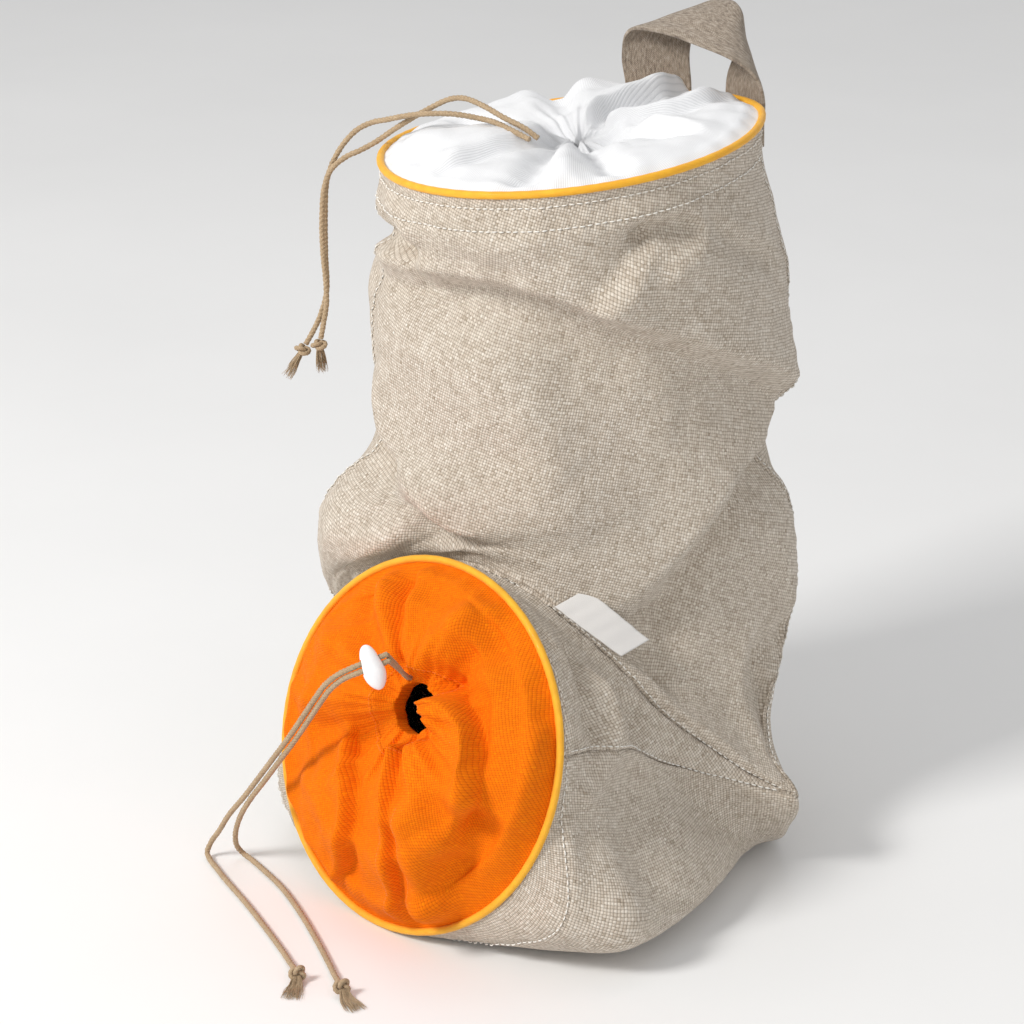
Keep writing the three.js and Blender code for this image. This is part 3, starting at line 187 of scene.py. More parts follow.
def grid_faces(rows, columns, wrap=False, start=0):
    j, i = np.mgrid[0:rows - 1, 0:columns if wrap else columns - 1]
    n = (i + 1) % columns
    corners = [j * columns + i, j * columns + n, (j + 1) * columns + n, (j + 1) * columns + i]
    return np.stack(corners, axis=-1).reshape(-1, 4) + start


def facing_out(points, faces, middle):
    """The faces, turned round if they look towards a point inside."""
    p = np.asarray(points, float).reshape(-1, 3)
    n = np.cross(p[faces[:, 2]] - p[faces[:, 0]], p[faces[:, 3]] - p[faces[:, 1]])
    from_middle = p[faces].mean(axis=1) - middle
    return faces if (n * from_middle).sum() > 0 else faces[:, ::-1]


def area_of(grid):
    """Square metres of a grid of points in millimetres."""
    a = np.cross(grid[1:, 1:] - grid[:-1, :-1], grid[1:, :-1] - grid[:-1, 1:])
    return float(np.linalg.norm(a, axis=2).sum() / 2) * MM * MM


def thicken(obj, amount):
    m = obj.modifiers.new("thickness", "SOLIDIFY")
    m.thickness, m.offset, m.use_rim = amount * MM, -1.0, True


def weld(obj):
    obj.modifiers.new("seam", "WELD").merge_threshold = 1e-5


def above_floor(points):
    points[:, 2] = np.maximum(points[:, 2], FLOOR + 0.02)
    return points


def side_of(along):
    """A direction that isn't close to the first one of a path."""
    return np.array([0.0, 0.0, 1.0]) if abs(along[0, 2]) < 0.9 else np.array([1.0, 0.0, 0.0])


def ring_around(u, w, angles):
    """Directions around each place of a path, from its two side directions."""
    return u[:, None] * np.cos(angles)[None, :, None] + w[:, None] * np.sin(angles)[None, :, None]


def tube_faces(rows, sides, start=0):
    end = start + (rows - 1) * sides
    faces = grid_faces(rows, sides, True, start)[:, ::-1].tolist()
    return faces + [list(range(start, start + sides)), list(range(end + sides - 1, end - 1, -1))]


def tubes(paths, radius, sides, taper):
    """Points and faces of closed round tubes, one for each path of points."""
    points, faces, start = [], [], 0
    for path in paths:
        path = np.asarray(path, float)
        along = unit(np.gradient(path, axis=0))
        u = unit(np.cross(along, side_of(along)))
        size = radius * taper(np.linspace(0, 1, len(path)))[:, None, None]
        ring = ring_around(u, np.cross(along, u), np.arange(sides) * math.tau / sides) * size
        points.append((path[:, None] + ring).reshape(-1, 3))
        faces += tube_faces(len(path), sides, start)
        start += len(path) * sides
    return np.vstack(points), faces


def joined(parts):
    """Several pairs of points and faces as one pair."""
    points, faces, start = [], [], 0
    for some, their_faces in parts:
        points.append(some)
        faces += [[i + start for i in face] for face in their_faces]
        start += len(some)
    return np.vstack(points), faces


# Materials.
class Shader:
    """A material with short ways to add nodes. Constants go straight onto the sockets."""

    def __init__(self, name, roughness, sheen=0.0, coat=0.0, specular=0.5):
        self.material = bpy.data.materials.new(name)
        self.material.use_nodes = True
        self.tree = self.material.node_tree
        self.surface = self.tree.nodes["Principled BSDF"].inputs
        self.surface["Roughness"].default_value = roughness
        self.surface["Sheen Weight"].default_value = sheen
        self.surface["Coat Weight"].default_value = coat
        self.surface["Specular IOR Level"].default_value = specular

    def put(self, socket, value):
        if isinstance(value, bpy.types.NodeSocket):
            self.tree.links.new(value, socket)
        else:
            socket.default_value = value

    def node(self, kind, **values):
        node = self.tree.nodes.new("ShaderNode" + kind)
        for key, value in values.items():
            self.put(node.inputs[key], value)
        return node

    def math(self, operation, a, b=0.0):
        node = self.node("Math")
        node.operation = operation
        self.put(node.inputs[0], a)
        self.put(node.inputs[1], b)
        return node.outputs[0]

    def times(self, a, b):
        return self.math("MULTIPLY", a, b)

    def plus(self, a, b):
        return self.math("ADD", a, b)

    def less(self, a, b):
        return self.math("SUBTRACT", a, b)

    def ridges(self, angle):
        return self.math("ABSOLUTE", self.math("SINE", angle))

    def uv(self):
        node = self.node("UVMap")
        node.uv_map = "cloth"
        parts = self.node("SeparateXYZ", Vector=node.outputs[0])
        return parts.outputs[0], parts.outputs[1]

    def vector(self, x, y, z=0.0):
        return self.node("CombineXYZ", X=x, Y=y, Z=z).outputs[0]

    def object_place(self):
        return self.node("TexCoord").outputs["Object"]

    def noise(self, vector, scale, fineness=3.0, roughness=0.55):
        node = self.node("TexNoise", Vector=vector, Scale=scale, Detail=fineness, Roughness=roughness)
        return node.outputs[0]

    def ramp(self, factor, stops):
        node = self.node("ValToRGB")
        self.put(node.inputs[0], factor)
        elements = node.color_ramp.elements
        while len(elements) < len(stops):
            elements.new(0.5)
        for element, (place, colour) in zip(elements, stops):
            element.position = place
            element.color = (*colour, 1.0)
        return node.outputs[0]

    def mix(self, factor, a, b, blend="MIX"):
        node = self.node("Mix")
        node.data_type, node.blend_type = "RGBA", blend
        for index, value in ((0, factor), (6, a), (7, b)):
            self.put(node.inputs[index], value)
        return node.outputs[2]

    def shade(self, colour, factor, stops, share=1.0):
        """The colour, darkened by a ramp. Where the ramp follows a weave's height, the darkening is painted
        shade.
        """
        return self.mix(share, colour, self.ramp(factor, stops), "MULTIPLY")

    def bump(self, height, depth, strength, before=None):
        node = self.node("Bump", Strength=strength, Distance=depth, Height=height)
        if before is not None:
            self.put(node.inputs["Normal"], before)
        return node.outputs[0]

    def finish(self, colour, normal):
        self.put(self.surface["Base Color"], colour)
        self.put(self.surface["Normal"], normal)
        return self.material


PLAIN = (1.0, 1.0, 1.0)


def weave(s, x, y, across, along):
    """Height of a plain weave, which thread is on top, and the thread numbers both ways."""
    def drift(a, b, c):
        return s.times(s.less(s.noise(s.vector(a, b, c), 90.0, 2.0), 0.5), 0.7)

    def thread_height(top, under):
        return s.times(s.math("POWER", top, 0.6), s.plus(s.times(under, 0.65), 0.35))

    u = s.plus(s.times(x, across), drift(x, y, 0.0))
    w = s.plus(s.times(y, along), drift(y, x, 3.0))
    nu, nw = s.math("FLOOR", u), s.math("FLOOR", w)
    over = s.math("ABSOLUTE", s.math("MODULO", s.plus(nu, nw), 2.0))
    hump_u, hump_w = s.ridges(s.times(u, math.pi)), s.ridges(s.times(w, math.pi))
    height = s.plus(s.times(thread_height(hump_u, hump_w), over),
                    s.times(thread_height(hump_w, hump_u), s.less(1.0, over)))
    return height, over, nu, nw


def linen():
    s = Shader("linen", 0.92, sheen=0.12)
    x, y = s.uv()
    height, over, nu, nw = weave(s, x, y, 690.0, 640.0)
    warp_tone = s.noise(s.vector(s.times(nu, 3.7), s.times(y, 130.0)), 1.0, 3.0, 0.7)
    weft_tone = s.noise(s.vector(s.times(x, 130.0), s.times(nw, 3.7), 7.0), 1.0, 3.0, 0.7)
    warp = s.ramp(warp_tone, [(0.30, (0.40, 0.33, 0.25)), (0.46, (0.60, 0.52, 0.43)),
                              (0.62, (0.78, 0.71, 0.62)), (0.78, (0.88, 0.83, 0.76))])
    weft = s.ramp(weft_tone, [(0.30, (0.46, 0.385, 0.30)), (0.46, (0.66, 0.58, 0.49)),
                              (0.62, (0.80, 0.73, 0.64)), (0.78, (0.89, 0.84, 0.77))])
    colour = s.mix(over, weft, warp)
    # Painted shade: the colour is darker in the hollows between the threads, following the weave's height.
    colour = s.shade(colour, height, [(0.1, (0.47, 0.43, 0.38)), (0.55, (0.93, 0.92, 0.91)), (1.0, PLAIN)])
    cloud = s.noise(s.vector(x, y, 1.0), 9.0, 3.0)
    colour = s.shade(colour, cloud, [(0.35, (0.93, 0.92, 0.90)), (0.65, PLAIN)], 0.5)
    slub = s.noise(s.vector(s.times(x, 5.0), y), 55.0, 4.0)
    return s.finish(colour, s.bump(height, 0.00045, 0.9, s.bump(slub, 0.0006, 0.5)))


def cover_cloth():
    s = Shader("orange_cover", 0.85, specular=0.15)
    x, y = s.uv()
    turned_x = s.plus(s.times(x, 0.906), s.times(y, 0.423))
    turned_y = s.less(s.times(y, 0.906), s.times(x, 0.423))
    height, _, nu, nw = weave(s, turned_x, turned_y, 900.0, 900.0)
    tone = s.noise(s.vector(s.times(nu, 2.3), s.times(nw, 2.3)), 1.0, 2.0)
    colour = s.ramp(tone, [(0.25, (0.82, 0.155, 0.0)), (0.6, (0.92, 0.20, 0.0)), (0.85, (0.97, 0.25, 0.0))])
    # Painted shade: the colour is darker in the hollows between the threads, following the weave's height.
    colour = s.shade(colour, height, [(0.05, (0.66, 0.50, 0.5)), (0.5, PLAIN), (1.0, PLAIN)])
    rough = s.noise(s.vector(x, y), 70.0, 4.0)
    return s.finish(colour, s.bump(height, 0.0003, 0.8, s.bump(rough, 0.0008, 0.5)))


def ribbed_white():
    s = Shader("white_cover", 0.85, sheen=0.1)
    x, y = s.uv()
    drift = s.times(s.noise(s.vector(x, y), 30.0, 2.0), 1.2)
    rib = s.ridges(s.plus(s.times(x, 2300.0), drift))
    height = s.plus(s.times(rib, 0.8), s.times(s.ridges(s.times(y, 5200.0)), 0.2))
    # Painted shade: the colour follows the rib height, darker in the grooves between the ribs.
    colour = s.ramp(height, [(0.0, (0.62, 0.63, 0.65)), (0.45, (0.78, 0.785, 0.80)),
                             (1.0, (0.83, 0.835, 0.85))])
    rough = s.noise(s.vector(x, y), 60.0, 4.0)
    return s.finish(colour, s.bump(height, 0.0003, 0.6, s.bump(rough, 0.0010, 0.5)))


def piping_cloth():
    s = Shader("piping", 0.55, sheen=0.1, coat=0.08)
    x, y = s.uv()
    height = s.times(s.ridges(s.times(s.plus(x, y), 4200.0)), s.ridges(s.times(s.less(x, y), 4200.0)))
    tone = s.noise(s.vector(x, y), 120.0, 3.0)
    colour = s.ramp(tone, [(0.3, (0.90, 0.42, 0.008)), (0.7, (1.0, 0.53, 0.015))])
    # Painted shade: the colour is darker in the grooves of the diagonal weave, following its height.
    colour = s.shade(colour, height, [(0.0, (0.86, 0.80, 0.72)), (0.6, PLAIN)])
    return s.finish(colour, s.bump(height, 0.00018, 0.6))


def webbing_cloth():
    s = Shader("webbing", 0.93, sheen=0.1)
    x, y = s.uv()
    twill = s.ridges(s.times(s.plus(s.math("PINGPONG", x, 0.005), y), 2500.0))
    height = s.plus(s.times(twill, 0.7), s.times(s.ridges(s.times(x, 3300.0)), 0.3))
    fleck = s.noise(s.vector(x, s.times(y, 0.25)), 900.0, 2.0, 0.8)
    colour = s.ramp(fleck, [(0.3, (0.17, 0.13, 0.10)), (0.5, (0.33, 0.27, 0.21)), (0.72, (0.50, 0.43, 0.36))])
    # Painted shade: the colour is darker in the grooves of the twill, following its height.
    colour = s.shade(colour, height, [(0.0, (0.55, 0.52, 0.48)), (0.6, PLAIN)])
    return s.finish(colour, s.bump(height, 0.0004, 0.8))


def twine_fibre():
    s = Shader("twine", 0.9, sheen=0.1)
    place = s.object_place()
    fine = s.noise(place, 2600.0, 3.0, 0.7)
    colour = s.ramp(fine, [(0.3, (0.235, 0.155, 0.085)), (0.5, (0.46, 0.335, 0.205)),
                           (0.7, (0.66, 0.52, 0.35))])
    wide = s.noise(place, 160.0, 2.0)
    colour = s.shade(colour, wide, [(0.3, (0.78, 0.74, 0.70)), (0.7, PLAIN)], 0.5)
    return s.finish(colour, s.bump(fine, 0.0003, 0.7))


def ribbon():
    s = Shader("label_ribbon", 0.7, sheen=0.15)
    x, y = s.uv()
    height = s.times(s.ridges(s.times(x, 5200.0)), s.ridges(s.times(y, 7000.0)))
    # Painted shade: the colour follows the weave's height, darker in the hollows between the threads.
    colour = s.ramp(height, [(0.0, (0.72, 0.69, 0.66)), (0.5, (0.86, 0.84, 0.82))])
    rough = s.noise(s.vector(x, y), 90.0, 3.0)
    return s.finish(colour, s.bump(height, 0.00015, 0.7, s.bump(rough, 0.0008, 0.4)))


def gloss_plastic():
    s = Shader("lock_plastic", 0.16, coat=0.5)
    place = s.object_place()
    colour = s.ramp(s.noise(place, 400.0, 3.0), [(0.3, (0.86, 0.86, 0.87)), (0.7, (0.90, 0.90, 0.905))])
    return s.finish(colour, s.bump(s.noise(place, 90.0, 2.0), 0.0004, 0.15))


def thread(name, colour):
    s = Shader(name, 0.7, sheen=0.2)
    ply = s.noise(s.object_place(), 3000.0, 2.0)
    darker = tuple(0.8 * c for c in colour)
    return s.finish(s.ramp(ply, [(0.3, darker), (0.7, colour)]), s.bump(ply, 0.0002, 0.5))


def pale_floor():
    s = Shader("floor", 0.75)
    place = s.object_place()
    colour = s.ramp(s.noise(place, 3.0, 4.0), [(0.3, (0.84, 0.84, 0.84)), (0.7, (0.87, 0.87, 0.87))])
    return s.finish(colour, s.bump(s.noise(place, 300.0, 3.0), 0.0002, 0.1))


LINEN, ORANGE, WHITE, YELLOW = linen(), cover_cloth(), ribbed_white(), piping_cloth()
WEBBING, TWINE, RIBBON, PLASTIC = webbing_cloth(), twine_fibre(), ribbon(), gloss_plastic()
PALE_THREAD = thread("pale_thread", (0.93, 0.90, 0.84))
ORANGE_THREAD = thread("orange_thread", (1.0, 0.24, 0.02))

# Routes of the strap's two edges and of the twine. The top cords' places are measured from the rim.
ON_FLOOR = FLOOR + 1.6
STRAP_NEAR = [
    [-59, 99.4, 356], [-58.9, 99.2, 369], [-59, 99, 383], [-60.5, 96.5, 400], [-51, 91.5, 416],
    [-30, 86, 421.5], [0, 83, 423], [28, 84, 419], [41.5, 90, 409], [40.6, 98.6, 394], [40.4, 99, 381],
    [40.2, 99.4, 369]]
STRAP_FAR = [
    [-18, 111.8, 361], [-17.9, 111.6, 374], [-18.2, 111.6, 388], [-21, 113.5, 408], [-19, 117.5, 427],
    [-8, 118, 437], [2, 117, 436.5], [12, 112, 433], [15, 111.4, 424], [7, 111, 400], [5.2, 111, 386],
    [5, 111.2, 373]]
TOP_CORD_A = [
    [-17, -22, 387.3], [-24, -19, 391.8], [-35, -12, 395.7], [-45, -4, 399.4], [-55, 3, 401.6],
    [-63, 8, 399.8], [-74, 12, 393.6], [-83, 15.5, 387.5], [-92.5, 18, 380.8], [-102.4, 18.5, 373.8],
    [-110.8, 19, 369], [-118, 19.5, 365.5], [-126, 18.5, 359], [-130, 18, 349.5], [-131.7, 17.5, 333],
    [-131.7, 17, 314.5], [-130.5, 17, 296], [-130.5, 17, 284], [-132.5, 17, 272], [-134, 17, 264.2]]
TOP_CORD_B = [
    [-21.5, -26.5, 388], [-30, -19.5, 390.5], [-39, -9, 392], [-48, -0.5, 392], [-61.7, 4, 393],
    [-78, 8.5, 391.7], [-88, 13.5, 389], [-96.7, 18, 386], [-104, 22, 383.5], [-112, 24.5, 379],
    [-119, 24.5, 372], [-125, 23.5, 362.5], [-129, 23, 351], [-130.3, 22.5, 333], [-130.6, 22, 311],
    [-130.6, 22, 289], [-134.5, 22, 275], [-139, 22, 265.5], [-142.5, 22, 259.3]]
# The two spout cords share a way from the lock to near the floor, side by side.
PAIR = [
    [22.4, -162.2, 153.2], [18.8, -169.1, 151.2], [15, -176.3, 149.1], [8, -181.5, 144.5],
    [-0.5, -183, 136.5], [-8.5, -182.5, 126.5], [-19, -181.5, 112.5], [-32, -180.5, 95], [-46, -180, 77],
    [-59, -180, 60], [-71, -180, 44.5]]
SPOUT_TAIL_A = [
    [-85.4, -181.2, 29.2], [-94, -181, 16.5], [-101, -181.5, 6.5], [-102.5, -183, 0.5],
    [-98, -185, ON_FLOOR], [-89, -188.5, ON_FLOOR], [-77, -193, ON_FLOOR], [-50, -202, ON_FLOOR],
    [-23, -212, ON_FLOOR], [1, -221.5, ON_FLOOR], [14, -227.5, ON_FLOOR + 0.6],
    [24.5, -233, ON_FLOOR + 2.8]]
SPOUT_TAIL_B = [
    [-80, -178, 28.5], [-86.5, -176, 15], [-89.5, -172.5, 5], [-88, -169.5, 0], [-82, -169.3, ON_FLOOR],
    [-70, -172, ON_FLOOR], [-48, -178, ON_FLOOR], [-21, -189, ON_FLOOR], [6, -202, ON_FLOOR],
    [29, -214, ON_FLOOR], [40, -220.3, ON_FLOOR + 0.6], [50, -226, ON_FLOOR + 2.8]]

# Sections of the sleeve down its length. v is 0 at the top rim, 1 at the seam above the spout and 2 at
# the spout rim. A section has a middle, a half width, how far its front stands out and how steeply,
# how far its back stands out and drops, and the powers of their curves.
COLUMNS = ("v", "ox", "oy", "oz", "half", "turn", "tilt", "phase", "ear", "front", "frontPitch",
           "frontK", "frontM", "back", "backM", "drop", "dropK", "hip")
SECTIONS = np.array([
    [0, -15.2, 10.2, 383.1, 100, 44, 7.1, 8, 0, 100, 0, 2, 0.5, 92, 0.5, 7, 2, 0],
    [0.06, -15.4, 10.1, 364, 100.5, 44, 7.1, 8, 0, 100, 0, 2, 0.5, 92, 0.5, 7, 2, 0],
    [0.15, -12, 13, 334, 104, 44, 6, 8, 0, 97, 3, 2, 0.5, 93, 0.5, 4, 2, 0],
    [0.25, -12, 13, 300, 112, 44, 4.5, 8, 0, 92, 6, 2, 0.5, 93, 0.5, 1, 2, 0],
    [0.4, -10, 14, 250, 110, 44, 3, 8, 0, 93, 13, 2, 0.5, 92, 0.5, 3, 2, 0],
    [0.52, -14, 11, 212, 108, 43, 2, 8, 0, 96, 19, 2, 0.5, 92, 0.5, 5, 2, 0],
    [0.65, -19, 6, 168, 125, 41, 1, 6, 0, 104, 26, 2, 0.58, 88, 0.5, 9, 2, 0],
    [0.78, -19, 6, 128, 131, 36, 0, 4, 0, 113, 35, 2, 0.75, 88, 0.5, 15, 2, 0],
    [0.9, -15, 4, 86, 125, 20, 0, 0, 0, 130, 47, 2.2, 1.15, 90, 0.52, 26, 2.2, 0],
    [0.95, -8, 6, 66, 118, 10, 0, 0, 9, 141, 52, 2.3, 1.25, 91, 0.57, 36, 2.7, 0],
    [1, 0, 8, 52, 122, 4, 0, 0, 25, 148, 54.4, 2.4, 1.3, 90, 0.8, 56, 4.5, 4],
    [1.05, 1, 2, 54, 117, 3, 0, 0, 17, 141, 55.5, 2.4, 1.1, 82, 0.8, 60, 6, 17],
    [1.12, 2, -8, 59, 110, 2, 0, 1, 9, 131, 58, 2.3, 0.95, 74, 0.75, 65, 6, 20],
    [1.25, 5, -35, 72, 100, 0, 0, 4, 0, 111, 63, 2.2, 0.75, 68, 0.65, 79, 5, 36],
    [1.5, 10, -71, 88, 96, 0, 0, 8, 0, 91, 76, 2, 0.55, 23, 0.55, 95, 5, 54],
    [1.75, 12, -106, 89, 96, 0, 0, 12, 0, 91, 95, 2, 0.5, -8, 0.5, 97, 4.2, 58],
    [1.92, 13.3, -126.5, 89.8, 97, 0, 0, 14, 0, 95, 106, 2, 0.5, -26, 0.5, 97, 2.6, 32],
    [2, 13.7, -134.6, 90.4, 97, 0, 0, 15, 0, 97, 110, 2, 0.5, -33.2, 0.5, 91.1, 2, 0]
])

# Folds: how far the cloth stands out on the left and right hand of a path, how wide each side fades,
# how sharp the step is, how it fades in and out, and the path. A path on the linen has [phi, v]
# places. One on a cover has [a, b] places in millimetres in the plane of its rim.
FOLDS = [
    [8, 30, -9, 30, 4, 0.1, 0.06,
     [[192, 0.165], [149, 0.165], [131, 0.17], [117, 0.178], [99, 0.205], [82, 0.245], [64, 0.295],
      [44, 0.35], [20, 0.4], [-3, 0.44]]],
    [-9, 26, -9, 34, 6, 0.25, 0.3,
     [[150, 0.19], [125, 0.22], [100, 0.285], [75, 0.38], [50, 0.45], [20, 0.47]]],
    [3, 14, -5, 10, 3, 0.2, 0.2, [[172, 0.06], [159, 0.08], [155, 0.115], [148, 0.165]]],
    [-13, 9, -13, 9, 5, 0.1, 0.4, [[205, 0.13], [185, 0.12], [168, 0.115], [150, 0.12]]],
    [4, 18, 4, 18, 5, 0.2, 0.3, [[205, 0.2], [185, 0.195], [165, 0.175]]],
    [6, 26, -13, 24, 4, 0.12, 0.3,
     [[180, 0.38], [172, 0.475], [149, 0.57], [130, 0.655], [118, 0.73], [104, 0.8]]],
    [7, 26, 7, 26, 8, 0.3, 0.3, [[190, 0.55], [165, 0.68], [150, 0.75], [128, 0.8]]],
    [-14, 20, 6, 24, 4, 0.12, 0.2, [[-6, 0.44], [2, 0.515], [31, 0.61], [46, 0.72], [53, 0.81], [55, 0.9]]],
    [5, 22, 5, 22, 8, 0.3, 0.3, [[-8, 0.58], [8, 0.68], [14, 0.78]]],
    [-8, 12, 4, 14, 3, 0.2, 0.2,
     [[3, 0.81], [12, 0.825], [20, 0.845], [24, 0.865], [23, 0.89], [17, 0.915], [8, 0.93]]],
    [-13, 20, -13, 20, 8, 0.3, 0.3, [[-44, 0.83], [-24, 0.86], [-8, 0.885]]],
    [3, 12, -10, 13, 3, 0.25, 0.3, [[72, 0.085], [65, 0.08], [56, 0.08], [50, 0.088], [44, 0.105]]],
    [5, 8, 5, 8, 3, 0.2, 0.4, [[44, 0.1], [48, 0.13], [54, 0.155], [63, 0.165]]],
    [2, 10, -6, 12, 3, 0.2, 0.4, [[42, 0.1], [36, 0.125], [28, 0.16], [12, 0.2]]],
    [4, 16, -5, 14, 4, 0.2, 0.4, [[64, 0.085], [70, 0.12], [77, 0.165], [86, 0.2]]],
    [5, 22, 5, 22, 8, 0.4, 0.4, [[88, 0.22], [62, 0.205], [36, 0.22]]],
    [3, 12, 1, 14, 6, 0.4, 0.3, [[122, 0.1], [95, 0.08], [70, 0.078]]],
    [-4, 12, -4, 12, 4, 0.3, 0.4, [[148, 0.1], [127, 0.125], [108, 0.15]]],
    [5, 20, 5, 20, 8, 0.3, 0.4, [[125, 0.3], [112, 0.4], [95, 0.57], [84, 0.76]]],
    [-5, 26, -5, 26, 8, 0.3, 0.4, [[97, 0.33], [84, 0.455], [66, 0.6], [60, 0.74]]],
    [-6, 9, -6, 9, 4, 0.3, 0.2, [[53, 0.88], [48, 0.92], [45, 0.98]]],
    [-6, 9, -6, 9, 4, 0.3, 0.3, [[45, 1.4], [38, 1.47], [22, 1.61], [13, 1.64], [4, 1.71]]],
    [5, 8, 5, 8, 3, 0.3, 0.2, [[30, 1.4], [20, 1.44], [11, 1.485], [1, 1.57], [-8, 1.68], [-14, 1.8]]],
    [-6, 11, -6, 11, 4, 0.3, 0.3, [[34, 1.24], [21, 1.32], [12, 1.36], [4, 1.42]]],
    [3, 7, 3, 7, 3, 0.1, 0.3, [[-12, 1.78], [-20, 1.88], [-34, 1.94], [-50, 1.955]]],
    [3, 12, 3, 12, 5, 0.3, 0.3, [[-12, 1.68], [-24, 1.77], [-38, 1.78]]],
    [-3, 14, -3, 14, 5, 0.3, 0.3, [[-8, 1.45], [-25, 1.62], [-42, 1.62]]],
    [-4, 8, -4, 8, 4, 0.3, 0.3, [[40, 1.12], [25, 1.08], [10, 1.06]]],
    [6, 24, -7, 26, 6, 0.3, 0.3, [[330, 0.38], [300, 0.33], [270, 0.28], [235, 0.26], [212, 0.22]]],
    [6, 26, -5, 26, 8, 0.3, 0.3, [[215, 0.5], [245, 0.6], [275, 0.72], [300, 0.85]]],
    [-5, 22, 4, 24, 8, 0.3, 0.3, [[335, 0.52], [315, 0.62], [298, 0.74]]],
]
TOP_COVER_FOLDS = [
    [-7, 11, -7, 9, 5, 0.3, 0.3, [[3, 4], [-3, 40], [-8, 88]]],
    [4, 14, 4, 16, 6, 0.3, 0.4, [[-5, 8], [-14, 45], [-22, 84]]],
    [4, 14, 4, 16, 6, 0.3, 0.4, [[3, 6], [8, 45], [14, 86]]],
    [6, 16, -5, 12, 3, 0.2, 0.3, [[8, 8], [30, 28], [46, 42], [68, 64]]],
    [4, 12, -3, 10, 3, 0.3, 0.4, [[9, 4], [35, 0], [60, 4], [84, 22]]],
    [3, 12, -5, 14, 5, 0.4, 0.4, [[10, -2], [38, -14], [62, -38]]],
    [-6, 7, -6, 8, 4, 0.3, 0.2, [[6, -6], [12, -45], [22, -86]]],
    [5, 8, 5, 8, 5, 0.3, 0.3, [[1, -8], [-3, -45], [-4, -88]]],
    [-6, 8, -6, 8, 4, 0.3, 0.2, [[-3, -9], [-15, -48], [-27, -84]]],
    [-3, 6, 4, 14, 5, 0.4, 0.4, [[-5, -4], [-34, -28], [-66, -52]]],
    [5, 18, 5, 16, 8, 0.4, 0.4, [[-10, -2], [-50, -10], [-86, -10]]],
    [-5, 8, -5, 8, 4, 0.3, 0.4, [[-4, 0], [-24, 12], [-60, 38]]],
]
SPOUT_COVER_FOLDS = [
    [-3, 10, 6, 12, 5, 0.3, 0.3, [[-24, 94], [-8, 62], [4, 38]]],
    [-8, 8, -8, 8, 4, 0.3, 0.3, [[-38, 78], [-16, 56], [-4, 42]]],
    [5, 12, 5, 12, 6, 0.4, 0.3, [[-56, 74], [-30, 52], [-8, 36]]],
    [-6, 9, -6, 9, 5, 0.3, 0.3, [[28, 82], [20, 56], [14, 38]]],
    [6, 10, 6, 10, 6, 0.3, 0.3, [[52, 76], [32, 52], [20, 36]]],
    [-5, 8, -5, 8, 4, 0.3, 0.3, [[-70, 40], [-38, 38], [-8, 30]]],
    [7, 13, -9, 15, 4, 0.2, 0.3, [[20, 36], [38, 38], [55, 30], [64, 18], [70, -4], [66, -22]]],
    [-6, 16, -6, 18, 8, 0.3, 0.3, [[84, 36], [80, 8], [72, -14]]],
    [-6, 7, -6, 7, 4, 0.5, 0.5, [[30, 27], [42, 24]]],
    [-10, 12, -10, 14, 5, 0.25, 0.3, [[26, 8], [42, -14], [60, -36]]],
    [-9, 10, -9, 10, 5, 0.3, 0.2, [[34, -20], [44, -48], [46, -80]]],
    [6, 12, 6, 12, 6, 0.4, 0.3, [[58, -10], [66, -40], [58, -64]]],
    [3, 14, -5, 12, 3, 0.2, 0.3, [[20, 10], [27, -20], [31, -50], [26, -90]]],
    [5, 12, -3, 8, 3, 0.2, 0.3, [[-22, 0], [-14, -14], [-7, -34], [-8, -62], [-22, -86]]],
    [6, 16, 6, 16, 8, 0.3, 0.4, [[-8, 14], [-36, -4], [-66, -28]]],
    [-6, 8, -6, 8, 4, 0.3, 0.4, [[-4, 22], [-32, 14], [-60, 4]]],
]


# The bent sleeve.
LEFT_ROUND, LEFT_HIP, LEFT_FORWARD, LEFT_CORNER = 0.57, 0.7, 24.0, 0.9


def monotone_tangents(table):
    """Slopes at a table's rows for a curve that never overshoots them."""
    h = np.diff(table[:, 0])[:, None]
    slope = np.diff(table, axis=0) / h
    tangent = np.zeros_like(table)
    w1, w2 = 2 * h[1:] + h[:-1], h[1:] + 2 * h[:-1]
    same = slope[:-1] * slope[1:] > 0
    product = np.where(same, slope[:-1] * slope[1:], 1.0)
    weighted = np.where(same, w1 * slope[1:] + w2 * slope[:-1], 1.0)
    tangent[1:-1] = np.where(same, (w1 + w2) * product / weighted, 0)
    tangent[0], tangent[-1] = slope[0], slope[-1]
    return tangent


TANGENTS = monotone_tangents(SECTIONS)


def section(v):
    """The values of each column at every station v."""
    i = np.clip(np.searchsorted(SECTIONS[:, 0], v, side="right") - 1, 0, len(SECTIONS) - 2)
    h = (SECTIONS[i + 1, 0] - SECTIONS[i, 0])[..., None]
    t = (v[..., None] - SECTIONS[i, 0][..., None]) / h
    rows = ((2 * t**3 - 3 * t**2 + 1) * SECTIONS[i] + (t**3 - 2 * t**2 + t) * h * TANGENTS[i]
            + (3 * t**2 - 2 * t**3) * SECTIONS[i + 1] + (t**3 - t**2) * h * TANGENTS[i + 1])
    return dict(zip(COLUMNS, np.moveaxis(rows, -1, 0)))


